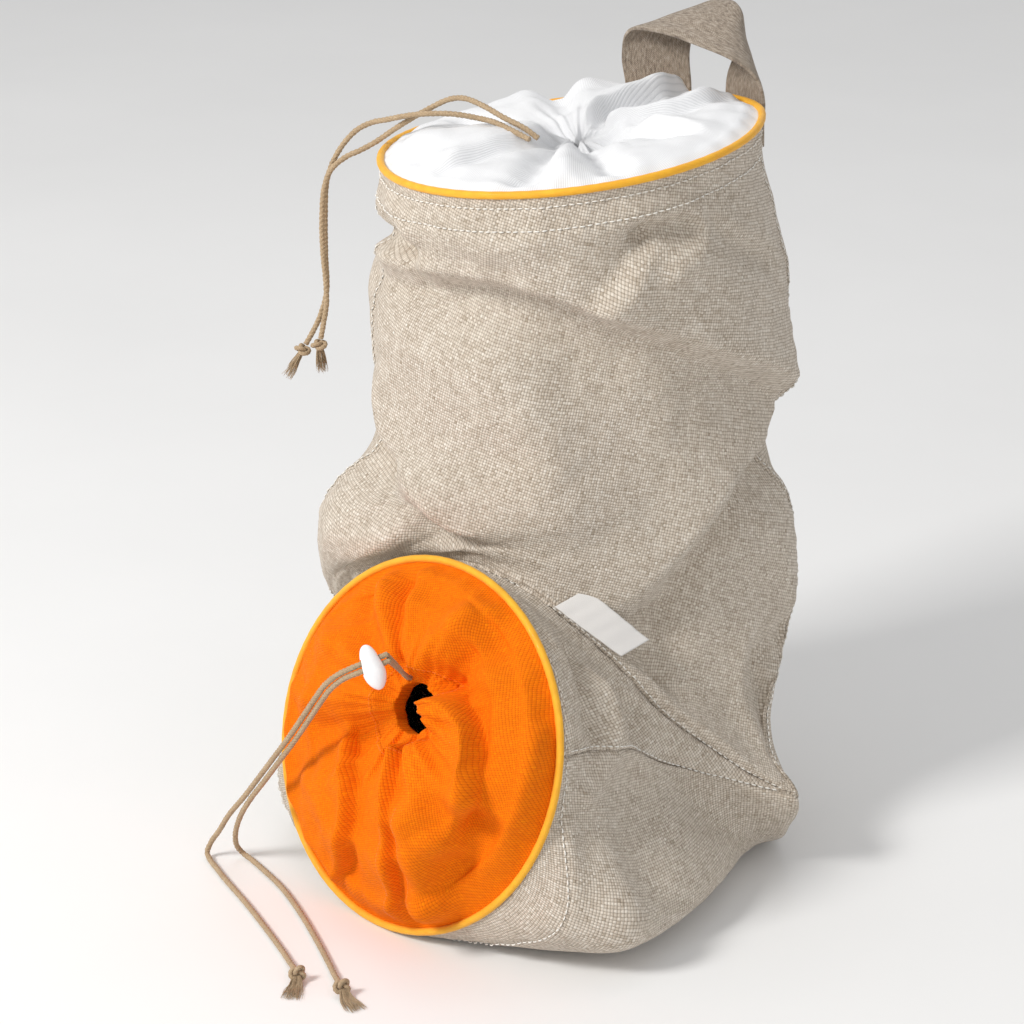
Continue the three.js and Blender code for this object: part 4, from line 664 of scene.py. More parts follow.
def sleeve(phi, v):
    """Points of the plain sleeve. phi is 0 at the right seam, 90 in front and 180 at the left seam."""
    phi, v = np.broadcast_arrays(np.asarray(phi, float), np.asarray(v, float))
    r = section(np.clip(v, 0, 2))
    rad = np.radians
    p = rad(phi) + rad(r["phase"]) * np.cos(rad(phi))
    c = np.cos(p)
    a = np.abs(c)
    turn, tilt = rad(r["turn"]), rad(r["tilt"])
    side = np.stack([np.cos(turn) * np.cos(tilt), np.sin(turn) * np.cos(tilt), np.sin(tilt)], -1)
    fore = np.stack([np.sin(turn), -np.cos(turn), np.zeros_like(turn)], -1)
    left = smooth(-2 * c - 0.5)
    across = r["half"] * c + r["ear"] * (1 - left) * a**8 * np.sign(c)
    front_m = lerp(r["frontM"], np.minimum(r["frontM"], LEFT_ROUND), left)
    profile = np.maximum(0, 1 - a ** r["frontK"]) ** front_m
    forward_f = r["front"] * np.cos(rad(r["frontPitch"])) * profile
    lift_f = r["front"] * np.sin(rad(r["frontPitch"])) * profile
    forward_b = -r["back"] * np.maximum(0, 1 - a * a) ** r["backM"]
    corner = left * smooth((1.75 - v) / 0.5)
    lift_b = -r["drop"] * np.maximum(0, 1 - a ** r["dropK"]) ** lerp(0.5, LEFT_CORNER, corner)
    hip = r["hip"] * lerp(1, LEFT_HIP, left) * a**4 * (1 - a * a) / 0.148 * np.sign(c)
    front = np.sin(p) >= 0
    across = across + np.where(front, 0, hip)
    q = np.stack([r["ox"], r["oy"], r["oz"]], -1) + side * across[..., None]
    q = q + fore * np.where(front, forward_f, forward_b)[..., None]
    from_seam = (v - 1) / np.where(v < 1, 0.1, 0.35)
    q[..., 1] -= LEFT_FORWARD * left * bell(from_seam)
    soft = 3.0 * np.clip((2 - v) / 0.1, 0.01, 1)
    above = q[..., 2] + np.where(front, lift_f, lift_b) - FLOOR + soft / 6
    q[..., 2] = FLOOR + np.maximum(0, 0.5 * (above + np.hypot(above, soft)) - soft / 6)
    return q


def outward(point_at, a, b, da, db):
    """The facing of a surface at its places a, b, from steps of da and db."""
    u = point_at(a + da, b) - point_at(a - da, b)
    w = point_at(a, b + db) - point_at(a, b - db)
    return unit(np.cross(u, w))


def spout_seam(phi):
    return 1 + 0.12 * smooth(phi / 35) * smooth((150 - phi) / 60)


# Folds and small relief.
SHARPEST, SHARPEST_ON_COVER = 9.0, 3.0  # least width of a fold's step in millimetres
# Millimetres for each unit of v up to 1 and from 1 on, and for each degree of phi.
TOP_LENGTH, SPOUT_LENGTH, ARC = 330.0, 150.0, 1.9
# The same for v just below the spout seam and close to the spout rim.
BELOW_SEAM, AT_SPOUT_RIM = 130.0, 110.0


def flat_place(phi, v):
    return -ARC * phi, -np.where(v <= 1, TOP_LENGTH * v, TOP_LENGTH + SPOUT_LENGTH * (v - 1))


def fold_line(places):
    return catmull(places, np.linspace(0, 1, (len(places) - 1) * 5 + 1))


def one_fold(row, line, x, y, sharpest):
    """How far one fold lifts the cloth at flat places x, y."""
    left, left_wide, right, right_wide, edge, fade_in, fade_out = row[:7]
    reach = 3 * max(left_wide, right_wide)
    height = np.zeros_like(x)
    near = ((x > line[:, 0].min() - reach) & (x < line[:, 0].max() + reach)
            & (y > line[:, 1].min() - reach) & (y < line[:, 1].max() + reach))
    if not near.any():
        return height
    px, py = x[near][:, None], y[near][:, None]
    d = np.diff(line, axis=0)
    length = np.linalg.norm(d, axis=1)
    run = distance(line)
    low, high = np.zeros(len(d)), np.ones(len(d))
    low[0], high[-1] = -9, 9
    t = ((px - line[:-1, 0]) * d[:, 0] + (py - line[:-1, 1]) * d[:, 1]) / length**2
    t = np.clip(t, low, high)
    ex, ey = px - line[:-1, 0] - t * d[:, 0], py - line[:-1, 1] - t * d[:, 1]
    gap = np.hypot(ex, ey)
    k = gap.argmin(axis=1)
    n = np.arange(len(k))
    best = gap[n, k]
    signed = np.where(d[k, 0] * ey[n, k] - d[k, 1] * ex[n, k] >= 0, best, -best)
    along = (run[k] + t[n, k] * length[k]) / run[-1]
    blend = smooth(0.5 + 0.5 * signed / max(edge, sharpest))
    on_left = left * bell(np.maximum(signed, 0) / left_wide)
    on_right = right * bell(np.minimum(signed, 0) / right_wide)
    start = smooth((along + fade_in * 0.5) / fade_in)
    stop = smooth((1 + fade_out * 0.5 - along) / fade_out)
    value = start * stop * (blend * on_left + (1 - blend) * on_right)
    height[near] = np.where(best < reach, value, 0)
    return height


FOLD_LINES = [fold_line(np.stack(flat_place(*np.array(row[7], float).T), 1)) for row in FOLDS]


def fold_height(phi, v):
    total = np.zeros(np.shape(phi))
    for turn in (-360, 0, 360):
        x, y = flat_place(phi + turn, v)
        for row, line in zip(FOLDS, FOLD_LINES):
            total += one_fold(row, line, x, y, SHARPEST)
    return total


def fine_relief(phi, v):
    """Small creases, soft dents and the puckers of the seams, in millimetres."""
    def pucker(at, pitch, sway, rate):
        return np.sin(at * math.tau / pitch + sway * np.sin(at * rate))

    x, y = flat_place(phi, v)
    relief = 0.75 * waves(x, y, 11, 26, 26, 90) + 0.16 * waves(x, y, 12, 30, 7, 20)
    seam = np.where(phi < 180, spout_seam(phi), 99.0)
    to_seam = (v - seam) * np.where(v < seam, TOP_LENGTH, BELOW_SEAM)
    side = np.minimum(np.abs((phi + 90) % 180 - 90), 60) * ARC
    side_on = smooth((v - 0.02) / 0.05)
    relief -= 1.9 * bell(to_seam / 2.2) + 1.6 * bell(side / 2.0) * side_on
    relief += 0.42 * pucker(x, 8.5, 2.0, 0.11) * bell(to_seam / 7.0)
    relief += 0.42 * pucker(y, 9.5, 2.0, 0.13) * bell(side / 7.0) * side_on
    from_rim = v * TOP_LENGTH
    hem_pucker = pucker(x, 10.0, 2.4, 0.09)
    relief += hem_pucker * (0.30 * bell((from_rim - 7) / 4.0) + 0.28 * bell((from_rim - 19) / 4.5))
    relief -= 0.7 * bell((from_rim - 7.2) / 1.3) + 0.7 * bell((from_rim - 19) / 1.3)
    from_spout = (2 - v) * AT_SPOUT_RIM
    relief += 0.35 * hem_pucker * bell((from_spout - 8) / 4.0)
    return relief - 0.7 * bell((from_spout - 8) / 1.3)


def cloth_facing(phi, v):
    return outward(sleeve, phi, v, 1.0, 0.008)


def cloth(phi, v):
    """Points of the linen with its folds and small relief."""
    hold = smooth(np.minimum(v / 0.07, (2 - v) / 0.10))
    near_rim = smooth(np.minimum(v / 0.02, (2 - v) / 0.06))
    height = fold_height(phi, v) * hold + fine_relief(phi, v) * near_rim
    q = sleeve(phi, v) + cloth_facing(phi, v) * height[..., None]
    q[..., 2] = np.maximum(FLOOR + 0.05, q[..., 2])
    return q


def laid_flat(q):
    """A coarse grid of the sleeve, unwrapped with little stretch, at its real size and upright."""
    rows, columns = q.shape[:2]
    mesh = bpy.data.meshes.new("pattern")
    mesh.from_pydata(q.reshape(-1, 3).tolist(), [], grid_faces(rows, columns).tolist())
    mesh.uv_layers.new(name="pattern")
    mesh.update()
    obj = bpy.data.objects.new("pattern", mesh)
    bpy.context.scene.collection.objects.link(obj)
    bpy.context.view_layer.objects.active = obj
    obj.select_set(True)
    bpy.ops.object.mode_set(mode="EDIT")
    bpy.ops.mesh.select_all(action="SELECT")
    bpy.ops.uv.unwrap(method="MINIMUM_STRETCH", margin=0.0)
    bpy.ops.object.mode_set(mode="OBJECT")
    corner = np.empty(len(mesh.loops), int)
    mesh.loops.foreach_get("vertex_index", corner)
    place = np.empty(len(mesh.loops) * 2)
    mesh.uv_layers["pattern"].data.foreach_get("uv", place)
    flat = np.empty((rows * columns, 2))
    flat[corner] = place.reshape(-1, 2)
    bpy.data.objects.remove(obj)
    flat = flat.reshape(rows, columns, 2)
    a, b = flat[1:, 1:] - flat[:-1, :-1], flat[1:, :-1] - flat[:-1, 1:]
    area = np.abs(a[..., 0] * b[..., 1] - a[..., 1] * b[..., 0]).sum() / 2
    flat = flat * math.sqrt(area_of(q) / (MM * MM) / area)
    down = unit(flat[-1, columns // 2] - flat[0, columns // 2])
    return flat @ np.array([[-down[1], -down[0]], [down[0], -down[1]]])


def cloth_uv(phi, v, rows=49, columns=65):
    """Places on the flat cloth for every point of a panel, so that the weave keeps its size."""
    j = np.linspace(0, phi.shape[0] - 1, rows).round().astype(int)
    i = np.linspace(0, phi.shape[1] - 1, columns).round().astype(int)
    flat = laid_flat(sleeve(phi, v)[j][:, i])
    row = np.interp(np.arange(phi.shape[0]), j, np.arange(rows))
    column = np.interp(np.arange(phi.shape[1]), i, np.arange(columns))
    j0, i0 = np.minimum(row.astype(int), rows - 2), np.minimum(column.astype(int), columns - 2)
    across = (column - i0)[None, :, None]
    upper = lerp(flat[j0][:, i0], flat[j0][:, i0 + 1], across)
    lower = lerp(flat[j0 + 1][:, i0], flat[j0 + 1][:, i0 + 1], across)
    return lerp(upper, lower, (row - j0)[:, None, None])


# Linen panels.
START_V, END_V = 0.0015, 1.9985
INSIDE = np.array([0.0, 0.0, 110.0])  # a place inside the bag


def linen_panel(node, phi_range, first, last, columns, rows):
    """One panel, and the width, length and area of its cloth in metres."""
    phi = lerp(*phi_range, spread(detail(columns), 0.35))
    ends = [edge(phi) if callable(edge) else np.full(phi.shape, edge) for edge in (first, last)]
    v = lerp(ends[0][None], ends[1][None], spread(detail(rows), 0.45)[:, None])
    phi = np.broadcast_to(phi, v.shape)
    points = cloth(phi, v)
    faces = facing_out(points, grid_faces(*v.shape), INSIDE)
    obj = add_mesh(node, points, faces, LINEN, cloth_uv(phi, v))
    thicken(obj, LINEN_THICK)
    plain = sleeve(phi, v)
    wide = np.linalg.norm(np.diff(plain, axis=1), axis=2).sum(axis=1).max()
    long = np.linalg.norm(np.diff(plain, axis=0), axis=2).sum(axis=0).max()
    return keep(obj, node), (wide * MM, long * MM, area_of(plain))


front, front_size = linen_panel("front_panel", (0, 180), START_V, spout_seam, 200, 180)
back, back_size = linen_panel("back_panel", (180, 360), START_V, 1.0, 150, 130)
base, base_size = linen_panel("base_panel", (180, 360), 1.0, END_V, 180, 100)
spout, spout_size = linen_panel("spout_panel", (0, 180), spout_seam, END_V, 200, 90)

# Covers. t runs from 0 at the rim to 1 at the mouth, and on down the neck.
UNDER_PIPING, NECK_SPAN, CASING_START = 1.1, 0.15, 0.88
COVER_FOLD_SHARE = 1.35  # how much deeper the folds are here than in the table
RIM_ARC, COVER_LENGTH = 1.75, 95.0  # millimetres of ribbed cloth for each degree of phi and unit of t
# A profile's rows are t, the height of the far side and the height of the near side.
TOP = {"station": 0.0, "centre": (-15.2, 10.2, 383.1), "normal": (-0.089, -0.085, 0.992),
       "right": (0.719, 0.695, 0), "mouth": (3.5, -3), "radius": 4.5, "neck": 7, "pleats": 7, "pleat": 2.2,
       "gathers": 19, "gather": 1.0, "gather_start": 0.35, "soft": 0.8, "folds": TOP_COVER_FOLDS,
       "profile": [[0, 0, 0], [0.1, 6, 3], [0.25, 10, 5], [0.5, 8.5, 4.5], [0.75, 3, 2], [0.9, -1.5, -1],
                   [1, -4, -4]]}
SPOUT = {"station": 2.0, "centre": (13.7, -134.6, 90.4), "normal": (-0.011, -0.94, 0.342),
         "right": (1, 0, 0), "mouth": (13, 24), "radius": 13.5, "neck": 9, "pleats": 9, "pleat": 1.3,
         "gathers": 21, "gather": 1.3, "gather_start": 0.30, "soft": 1.3, "folds": SPOUT_COVER_FOLDS,
         "profile": [[0, 0, 0], [0.15, 10, 18], [0.4, 20, 33], [0.7, 24, 36], [1, 23, 25]]}
for cover in (TOP, SPOUT):
    for key in ("centre", "normal", "right", "profile"):
        cover[key] = np.array(cover[key], float)
    cover["normal"] = unit(cover["normal"])
    cover["right"] = unit(cover["right"] - cover["normal"] * (cover["right"] @ cover["normal"]))
    cover["up"] = np.cross(cover["normal"], cover["right"])
    cover["lines"] = [fold_line(row[7]) for row in cover["folds"]]


def cover_base(c, phi, t):
    """Points of a cover without folds, their places in its plane, and their angle round the mouth."""
    rim = sleeve(phi, np.full(np.shape(phi), c["station"])) - c["centre"]
    a, b = rim @ c["right"], rim @ c["up"]
    inset = 1 - UNDER_PIPING / np.hypot(a, b)
    angle = np.arctan2(b - c["mouth"][1], a - c["mouth"][0])
    s = np.minimum(1, t)
    x = lerp(a * inset, c["mouth"][0] + c["radius"] * np.cos(angle), s)
    y = lerp(b * inset, c["mouth"][1] + c["radius"] * np.sin(angle), s)
    rows = c["profile"]
    i = np.clip(np.searchsorted(rows[:, 0], s, side="left") - 1, 0, len(rows) - 2)
    w = smooth((s - rows[i, 0]) / (rows[i + 1, 0] - rows[i, 0]))
    far = (1 + np.sin(angle)) / 2
    up = lerp(lerp(rows[i, 2], rows[i + 1, 2], w), lerp(rows[i, 1], rows[i + 1, 1], w), far)
    height = (rim @ c["normal"]) * (1 - s) + up - np.maximum(0, t - 1) * c["neck"] / NECK_SPAN
    p = c["centre"] + x[..., None] * c["right"] + y[..., None] * c["up"] + height[..., None] * c["normal"]
    return p, x, y, angle


def cover_facing(point_at, c, phi, t, phi_step, t_step):
    return -outward(lambda u, w: point_at(c, u, w), phi, t, phi_step, t_step)


def cover_plain(c, phi, t):
    return cover_base(c, phi, t)[0]


def cover_point(c, phi, t):
    """Points of a cover with its folds, pleats, gathers and small relief."""
    phi, t = np.broadcast_arrays(np.asarray(phi, float), np.asarray(t, float))
    p, x, y, angle = cover_base(c, phi, t)
    folds = COVER_FOLD_SHARE * sum(one_fold(row, line, x, y, SHARPEST_ON_COVER)
                                   for row, line in zip(c["folds"], c["lines"]))
    on_cloth = smooth(t / 0.14) * smooth((1.02 - t) / 0.16)
    pleat = c["pleat"] * np.sin(c["pleats"] * angle + 2 * np.sin(angle)) * smooth((t - 0.45) / 0.45)
    gathers = np.sin(c["gathers"] * angle + 1.7 * np.sin(3 * angle) + 1.2 * np.sin(2 * angle + 1))
    gathers += 0.4 * np.sin(2 * c["gathers"] * angle + 2 * np.sin(angle * 2))
    grow = smooth((t - c["gather_start"]) / 0.5) * 0.7 * lerp(1, 0.35, smooth((t - 0.9) / 0.1))
    pleat = pleat + c["gather"] * gathers * grow
    rim = np.radians(phi)
    rim_pucker = 0.45 * np.sin(30 * rim + 2 * np.sin(4 * rim)) * bell((t - 0.06) / 0.05)
    relief = c["soft"] * waves(x, y, 31 + c["pleats"], 24, 14, 44) * on_cloth
    n = cover_facing(cover_plain, c, phi, np.minimum(t, 0.93), 2.0, 0.04)
    height = folds * on_cloth + pleat * np.where(t > 1, 0.6, 1) + rim_pucker + relief
    return p + n * height[..., None]


def cover_piece(node, c, material, columns, rows, t_range, planar):
    """The part of a cover between two t, with its area. Its cloth lies in the plane or round the rim."""
    columns, rows = detail(columns), detail(rows)
    t = lerp(*t_range, np.linspace(0, 1, rows))[:, None]
    phi, t = np.broadcast_arrays((360 * np.arange(columns) / columns)[None, :], t)
    points = cover_point(c, phi, t)
    closed = np.concatenate([points, points[:, :1]], axis=1)
    if planar:
        _, x, y, _ = cover_base(c, phi, t)
        uv = np.stack([x, y], -1)
    else:
        uv = np.stack([phi * RIM_ARC, t * COVER_LENGTH], -1)
        uv = np.concatenate([uv, uv[:, :1] + np.array([360 * RIM_ARC, 0])], axis=1)
        points = closed
    faces = facing_out(points, grid_faces(rows, points.shape[1], planar), c["centre"] - 80 * c["normal"])
    obj = add_mesh(node, points, faces, material, uv)
    if not planar:
        weld(obj)
    thicken(obj, COVER_THICK)
    return keep(obj, node), area_of(closed)


top_cover, top_area = cover_piece("top_cover", TOP, WHITE, 360, 76, (0, 1 + NECK_SPAN), False)
spout_cover, spout_cover_area = cover_piece("spout_cover", SPOUT, ORANGE, 380, 80,
                                            (0, CASING_START), True)
casing, casing_area = cover_piece("spout_casing", SPOUT, ORANGE, 380, 20,
                                  (CASING_START, 1 + NECK_SPAN), True)


def piping(node, station, segments, sides=20):
    """A closed round cord round a rim, a little uneven."""
    phi = 360 * np.arange(segments) / segments
    path = sleeve(phi, np.full(segments, station))
    along = unit(np.roll(path, -1, axis=0) - np.roll(path, 1, axis=0))
    out = path - path.mean(axis=0)
    out = unit(out - along * (out * along).sum(1, keepdims=True))
    run = distance(path)
    size = PIPING_RADIUS + 0.05 * np.sin(run * math.tau / 9.0 + 2 * np.sin(run * 0.05))
    angles = np.arange(sides + 1) * math.tau / sides
    points = path[:, None] + ring_around(out, np.cross(along, out), angles) * size[:, None, None]
    points = np.concatenate([points, points[:1]], axis=0)
    run = np.append(run, run[-1] + np.linalg.norm(path[0] - path[-1]))
    uv = np.stack(np.broadcast_arrays(run[:, None], (angles * PIPING_RADIUS)[None, :]), -1)
    obj = add_mesh(node, points, grid_faces(segments + 1, sides + 1)[:, ::-1], YELLOW, uv)
    weld(obj)
    return keep(obj, node)


top_piping = piping("top_piping", 0.0, detail(360))
spout_piping = piping("spout_piping", 2.0, detail(360))


def hanging_strap(across=27):
    """A band between two edges, with its length in millimetres."""
    t = np.linspace(0, 1, detail(170))
    near, far = catmull(STRAP_NEAR, t), catmull(STRAP_FAR, t)
    side, middle = unit(far - near), (near + far) / 2
    run, w = distance(middle), np.linspace(-0.5, 0.5, across)
    normal = unit(np.cross(np.gradient(middle, axis=0), side))
    round_edge = -0.45 * np.maximum(0, np.abs(w) - 0.44) / 0.06
    x, y = np.broadcast_arrays(w[None] * STRAP_WIDTH, run[:, None])
    height = round_edge[None, :, None] + 0.35 * waves(x, y, 5, 14, 14, 50)[..., None] - 0.1
    points = middle[:, None] + side[:, None] * w[None, :, None] * STRAP_WIDTH + normal[:, None] * height
    obj = add_mesh("hanging_strap", points, grid_faces(len(t), across), WEBBING, np.stack([x, y], -1))
    thicken(obj, STRAP_THICK)
    bevel = obj.modifiers.new("edge", "BEVEL")
    bevel.width, bevel.segments, bevel.limit_method = 0.0004, 2, "ANGLE"
    return keep(obj, "hanging_strap"), run[-1]


def side_label(columns=49, rows=25):
    """The bare label over the spout seam, which leans out more at its right end."""
    u, w = np.linspace(0, 1, columns), np.linspace(0, 1, rows)
    phi = lerp(*LABEL_PHI, u)
    seam = spout_seam(phi)
    low = cloth(phi, seam - 0.006)
    low = lerp(low[0], low[-1], u[:, None]) * 0.6 + low * 0.4
    up = unit(cloth(phi, np.full(columns, LABEL_TOP)) - low)
    up = unit(up.mean(axis=0) * 0.7 + up * 0.3)
    along = unit(cloth(phi - 2, seam) - cloth(phi + 2, seam))
    normal = unit(np.cross(unit(along.mean(axis=0)), up))
    lift = (lerp(1.8, 5.6, u) + 0.8)[:, None] + 0.5 * np.sin(u * 5.0)[:, None] * w
    lift = lift + 0.9 * (w**2) * (u[:, None] - 0.3)
    points = low[:, None] + up[:, None] * (w * LABEL_HEIGHT)[None, :, None]
    points = points + normal[:, None] * lift[..., None]
    uv = np.stack(np.broadcast_arrays(u[:, None] * LABEL_WIDTH, w[None] * LABEL_HEIGHT), -1)
    obj = add_mesh("side_label", points, grid_faces(columns, rows), RIBBON, uv)
    thicken(obj, LABEL_THICK)
    return keep(obj, "side_label")


strap, strap_length = hanging_strap()
label = side_label()

# Stitching. A row is a line on the cloth with its facings.
LINEN_THREAD, COVER_THREAD = 0.42, 0.26
STITCH_ARCH = np.array([-0.25, 0.14, 0.24, 0.14, -0.25])  # its ends dip into the cloth


def stitches(name, rows, material, length, gap, radius):
    """Small rounded threads one after another along each row."""
    paths, arch = [], STITCH_ARCH * radius / LINEN_THREAD
    for path, normal in rows:
        run = distance(path)
        at = 0.0
        while at + length < run[-1]:
            s = np.linspace(at, at + length, len(STITCH_ARCH))
            paths.append(sample(s, run, path) + sample(s, run, normal) * arch[:, None])
            at += length + gap
    points, faces = tubes(paths, radius, 5, lambda t: 0.55 + 0.45 * np.sin(math.pi * t))
    return keep(add_mesh(name, above_floor(points), faces, material))


def linen_row(phi, v, lift):
    n = cloth_facing(phi, v)
    return cloth(phi, v) + n * lift, n


def ring_row(v):
    phi = np.linspace(0, 360, 700)
    return linen_row(phi, np.full(phi.shape, v), 0.6)


def side_row(phi, first, last, places):
    """A row down a side seam, at an even pace of v between places."""
    stations = [[phi, v * SPOUT_LENGTH, 0] for v in np.linspace(first, last, places)]
    line = catmull(stations, np.linspace(0, 1, 260))
    return linen_row(line[:, 0], line[:, 1] / SPOUT_LENGTH, 0.35)


def seam_row(first, last, offset):
    """A row a given distance above the spout seam, or above the seam behind the base."""
    phi = np.linspace(first, last, 500)
    v, step = spout_seam(phi), 0.004
    per = np.linalg.norm(sleeve(phi, v - step) - sleeve(phi, v), axis=1) / step
    return linen_row(phi, v - offset / np.maximum(per, 40), 0.45)


stitches("linen_stitching", [
    seam_row(6, 176, 1.9), seam_row(184, 356, 2.0),
    ring_row(0.022), ring_row(0.0575), ring_row(1.928),
    side_row(1.4, 1.04, 1.92, 12), side_row(178.6, 1.04, 1.92, 12),
    side_row(358.7, 0.07, 0.97, 16), side_row(181.3, 0.07, 0.97, 16),
], PALE_THREAD, length=2.6, gap=1.2, radius=LINEN_THREAD)


def cover_row(phi, t):
    n = cover_facing(cover_point, SPOUT, phi, t, 1.0, 0.01)
    return cover_point(SPOUT, phi, t) + n * 0.05, n


def cover_line(places):
    """A row over the spout cover through [a, b] places, found in a few steps from a coarse grid."""
    line = evenly(fold_line(places), 1.0)
    phi_grid, t_grid = np.meshgrid(np.linspace(0, 360, 181), np.linspace(0, 1, 61))
    _, x, y, _ = cover_base(SPOUT, phi_grid, t_grid)
    k = ((x.ravel()[None] - line[:, :1]) ** 2 + (y.ravel()[None] - line[:, 1:2]) ** 2).argmin(axis=1)
    phi, t = phi_grid.ravel()[k].copy(), t_grid.ravel()[k].copy()
    phi_step, t_step = 0.5, -0.004
    for _ in range(6):
        _, x, y, _ = cover_base(SPOUT, phi, t)
        _, xp, yp, _ = cover_base(SPOUT, phi + phi_step, t)
        _, xt, yt, _ = cover_base(SPOUT, phi, t + t_step)
        a, b, d, e = (xp - x) / phi_step, (xt - x) / t_step, (yp - y) / phi_step, (yt - y) / t_step
        det = a * e - b * d
        det = np.where(np.abs(det) < 1e-9, 1e-9, det)
        rx, ry = line[:, 0] - x, line[:, 1] - y
        phi = phi + np.clip((e * rx - b * ry) / det, -4, 4)
        t = np.clip(t + np.clip((a * ry - d * rx) / det, -0.05, 0.05), 0.0, 1.1)
    return cover_row(phi, t)


casing_ring = np.linspace(0, 360, 400)
stitches("cover_stitching", [
    cover_line([[7, 5], [17, -19], [24, -43], [25, -70], [17, -90]]),
    cover_line([[36, -20], [40, -40], [38, -65], [33, -88]]),
    cover_row(casing_ring, np.full(casing_ring.shape, 0.865)),
], ORANGE_THREAD, length=1.9, gap=1.1, radius=COVER_THREAD)

# Twine and knots.
AWAY, RIGHT = np.array([-0.695, 0.719, 0]), np.array([0.719, 0.695, 0])
LOCK_AXIS = unit(np.array([-0.45, -0.86, -0.25]))
LOCK_LONG = np.array([0.473, -0.058, -0.874])
LOCK_LONG = unit(LOCK_LONG - LOCK_AXIS * (LOCK_LONG @ LOCK_AXIS))
LOCK_CENTRE = np.array([19.3, -170.8, 149.6])
PAIR_SIDE, PAIR_HALF, IN_LOCK = unit(np.array([0.73, 0.365, -0.58])), 1.75, 3


def from_rim(p):
    """A place given by how far it is to the right of and behind the top rim's middle, and its height."""
    return np.array([*TOP["centre"][:2], p[2]]) + RIGHT * p[0] + AWAY * p[1]


def beside(amount):
    """The pair's way, moved to one side. Its first places are in the lock, one above the other."""
    sides = [LOCK_LONG] * IN_LOCK + [PAIR_SIDE] * (len(PAIR) - IN_LOCK)
    return [list(np.array(p) + side * amount) for p, side in zip(PAIR, sides)]


def twisted(line, radius, sides=18, pitch=TWIST, seed=0):
    """Points and faces of a three-strand twine along a polyline, its even line and its directions."""
    line = evenly(line, RING_STEP)
    along = unit(np.gradient(line, axis=0))
    u = np.zeros_like(line)
    last = np.cross(along[0], side_of(along))
    for i, a in enumerate(along):
        last = last - a * (last @ a)
        last = last / np.linalg.norm(last)
        u[i] = last
    run = np.arange(len(line)) * RING_STEP
    k = np.arange(sides) * math.tau / sides
    turn = run[:, None] * math.tau / pitch + 0.5 * np.sin(run[:, None] * 0.13 + seed)
    lobes = np.abs(np.cos(1.5 * (k[None] - turn))) ** 0.7
    size = radius * (0.66 + 0.34 * lobes) * (1 + 0.03 * np.sin(run * 0.9 + seed))[:, None]
    points = (line[:, None] + ring_around(u, np.cross(along, u), k) * size[..., None]).reshape(-1, 3)
    return points, tube_faces(len(line), sides), line, along


def fuzz(line, along, radius, share, r):
    """Short loose fibres that stand off the twine."""
    fibres = []
    for i in range(4, len(line) - 4):
        if r.random() < share:
            way = unit(r.normal(size=3))
            way = unit(way - along[i] * (way @ along[i]) * 0.8)
            lean = along[i] * r.choice([-1, 1]) * r.uniform(0.4, 1.2)
            reach = r.uniform(0.5, 1.2)
            root = line[i] + way * radius * 0.7
            middle = root + (way + lean * 0.5) * reach * 0.5
            fibres.append([root, middle, root + (way * 0.7 + lean) * reach])
    return tubes(fibres, 0.055, 3, lambda t: 1 - 0.6 * t)


FUZZ_SEED = 70


def twine(node, route, seed):
    line = catmull(route, np.linspace(0, 1, 2400))
    points, faces, line, along = twisted(line, TWINE_RADIUS, seed=seed)
    loose = fuzz(line, along, TWINE_RADIUS, 0.5, np.random.default_rng(seed + FUZZ_SEED))
    points, faces = joined([(points, faces), loose])
    return keep(add_mesh(node, above_floor(points), faces, TWINE), node), line


def turned_to(way):
    """The rotation that brings the upright axis to a direction."""
    up = np.array([0.0, 0.0, 1.0])
    axis, cosine = np.cross(up, way), float(up @ way)
    cross = np.array([[0, -axis[2], axis[1]], [axis[2], 0, -axis[0]], [-axis[1], axis[0], 0]])
    return np.eye(3) + cross + cross @ cross / (1 + cosine + 1e-9)


def frayed_knot(node, centre, cord_way, fray_way, length, spread_out, on_floor, seed):
    """An overhand knot in the twine with its end combed out into fibres."""
    r = np.random.default_rng(seed)
    centre = np.array(centre, float)
    cord_way, way = unit(np.array(cord_way, float)), unit(np.array(fray_way, float))
    t = np.linspace(0, 2 * math.tau, 260)
    wide = 2 + np.cos(1.5 * t)
    loop = np.stack([wide * np.cos(t), wide * np.sin(t), np.sin(1.5 * t)], 1) * 1.25
    points, faces, _, _ = twisted(loop @ turned_to(cord_way).T + centre, 1.3, 14, 5.5, seed)
    first = unit(np.cross((0.0, 0.0, 1.0), way)) if on_floor else unit(np.cross(way, cord_way))
    second = np.cross(way, first)
    s = np.linspace(0, 1, 7)[:, None]
    fibres = []
    for _ in range(110):
        angle, out = r.uniform(0, math.tau), math.sqrt(r.uniform(0.02, 1))
        a, b = math.cos(angle) * out, math.sin(angle) * out
        root = centre + first * a * 1.3 + second * b * 1.0
        tip = centre + way * (length * r.uniform(0.6, 0.97)) + first * a * spread_out
        tip = tip + second * b * (0.0 if on_floor else spread_out * 0.6)
        curl = np.sin(s * r.uniform(3, 8) + r.uniform(0, 6)) * r.uniform(0.1, 0.7) * s
        side = unit(r.normal(size=3))
        p = root + (tip - root) * s + side * curl + first * (a * np.sin(s * math.pi) * 0.9)
        if on_floor:
            flat = FLOOR + 0.25 + r.uniform(0, 0.8)
            down = smooth(np.minimum(1, s[:, 0] / 0.45))
            p[:, 2] = lerp(root[2], flat, down) + np.abs(curl[:, 0]) * 0.3
        fibres.append(p)
    points, faces = joined([(points, faces), tubes(fibres, 0.17, 4, lambda t: 1 - 0.5 * t)])
    return keep(add_mesh(node, above_floor(points), faces, TWINE), node)


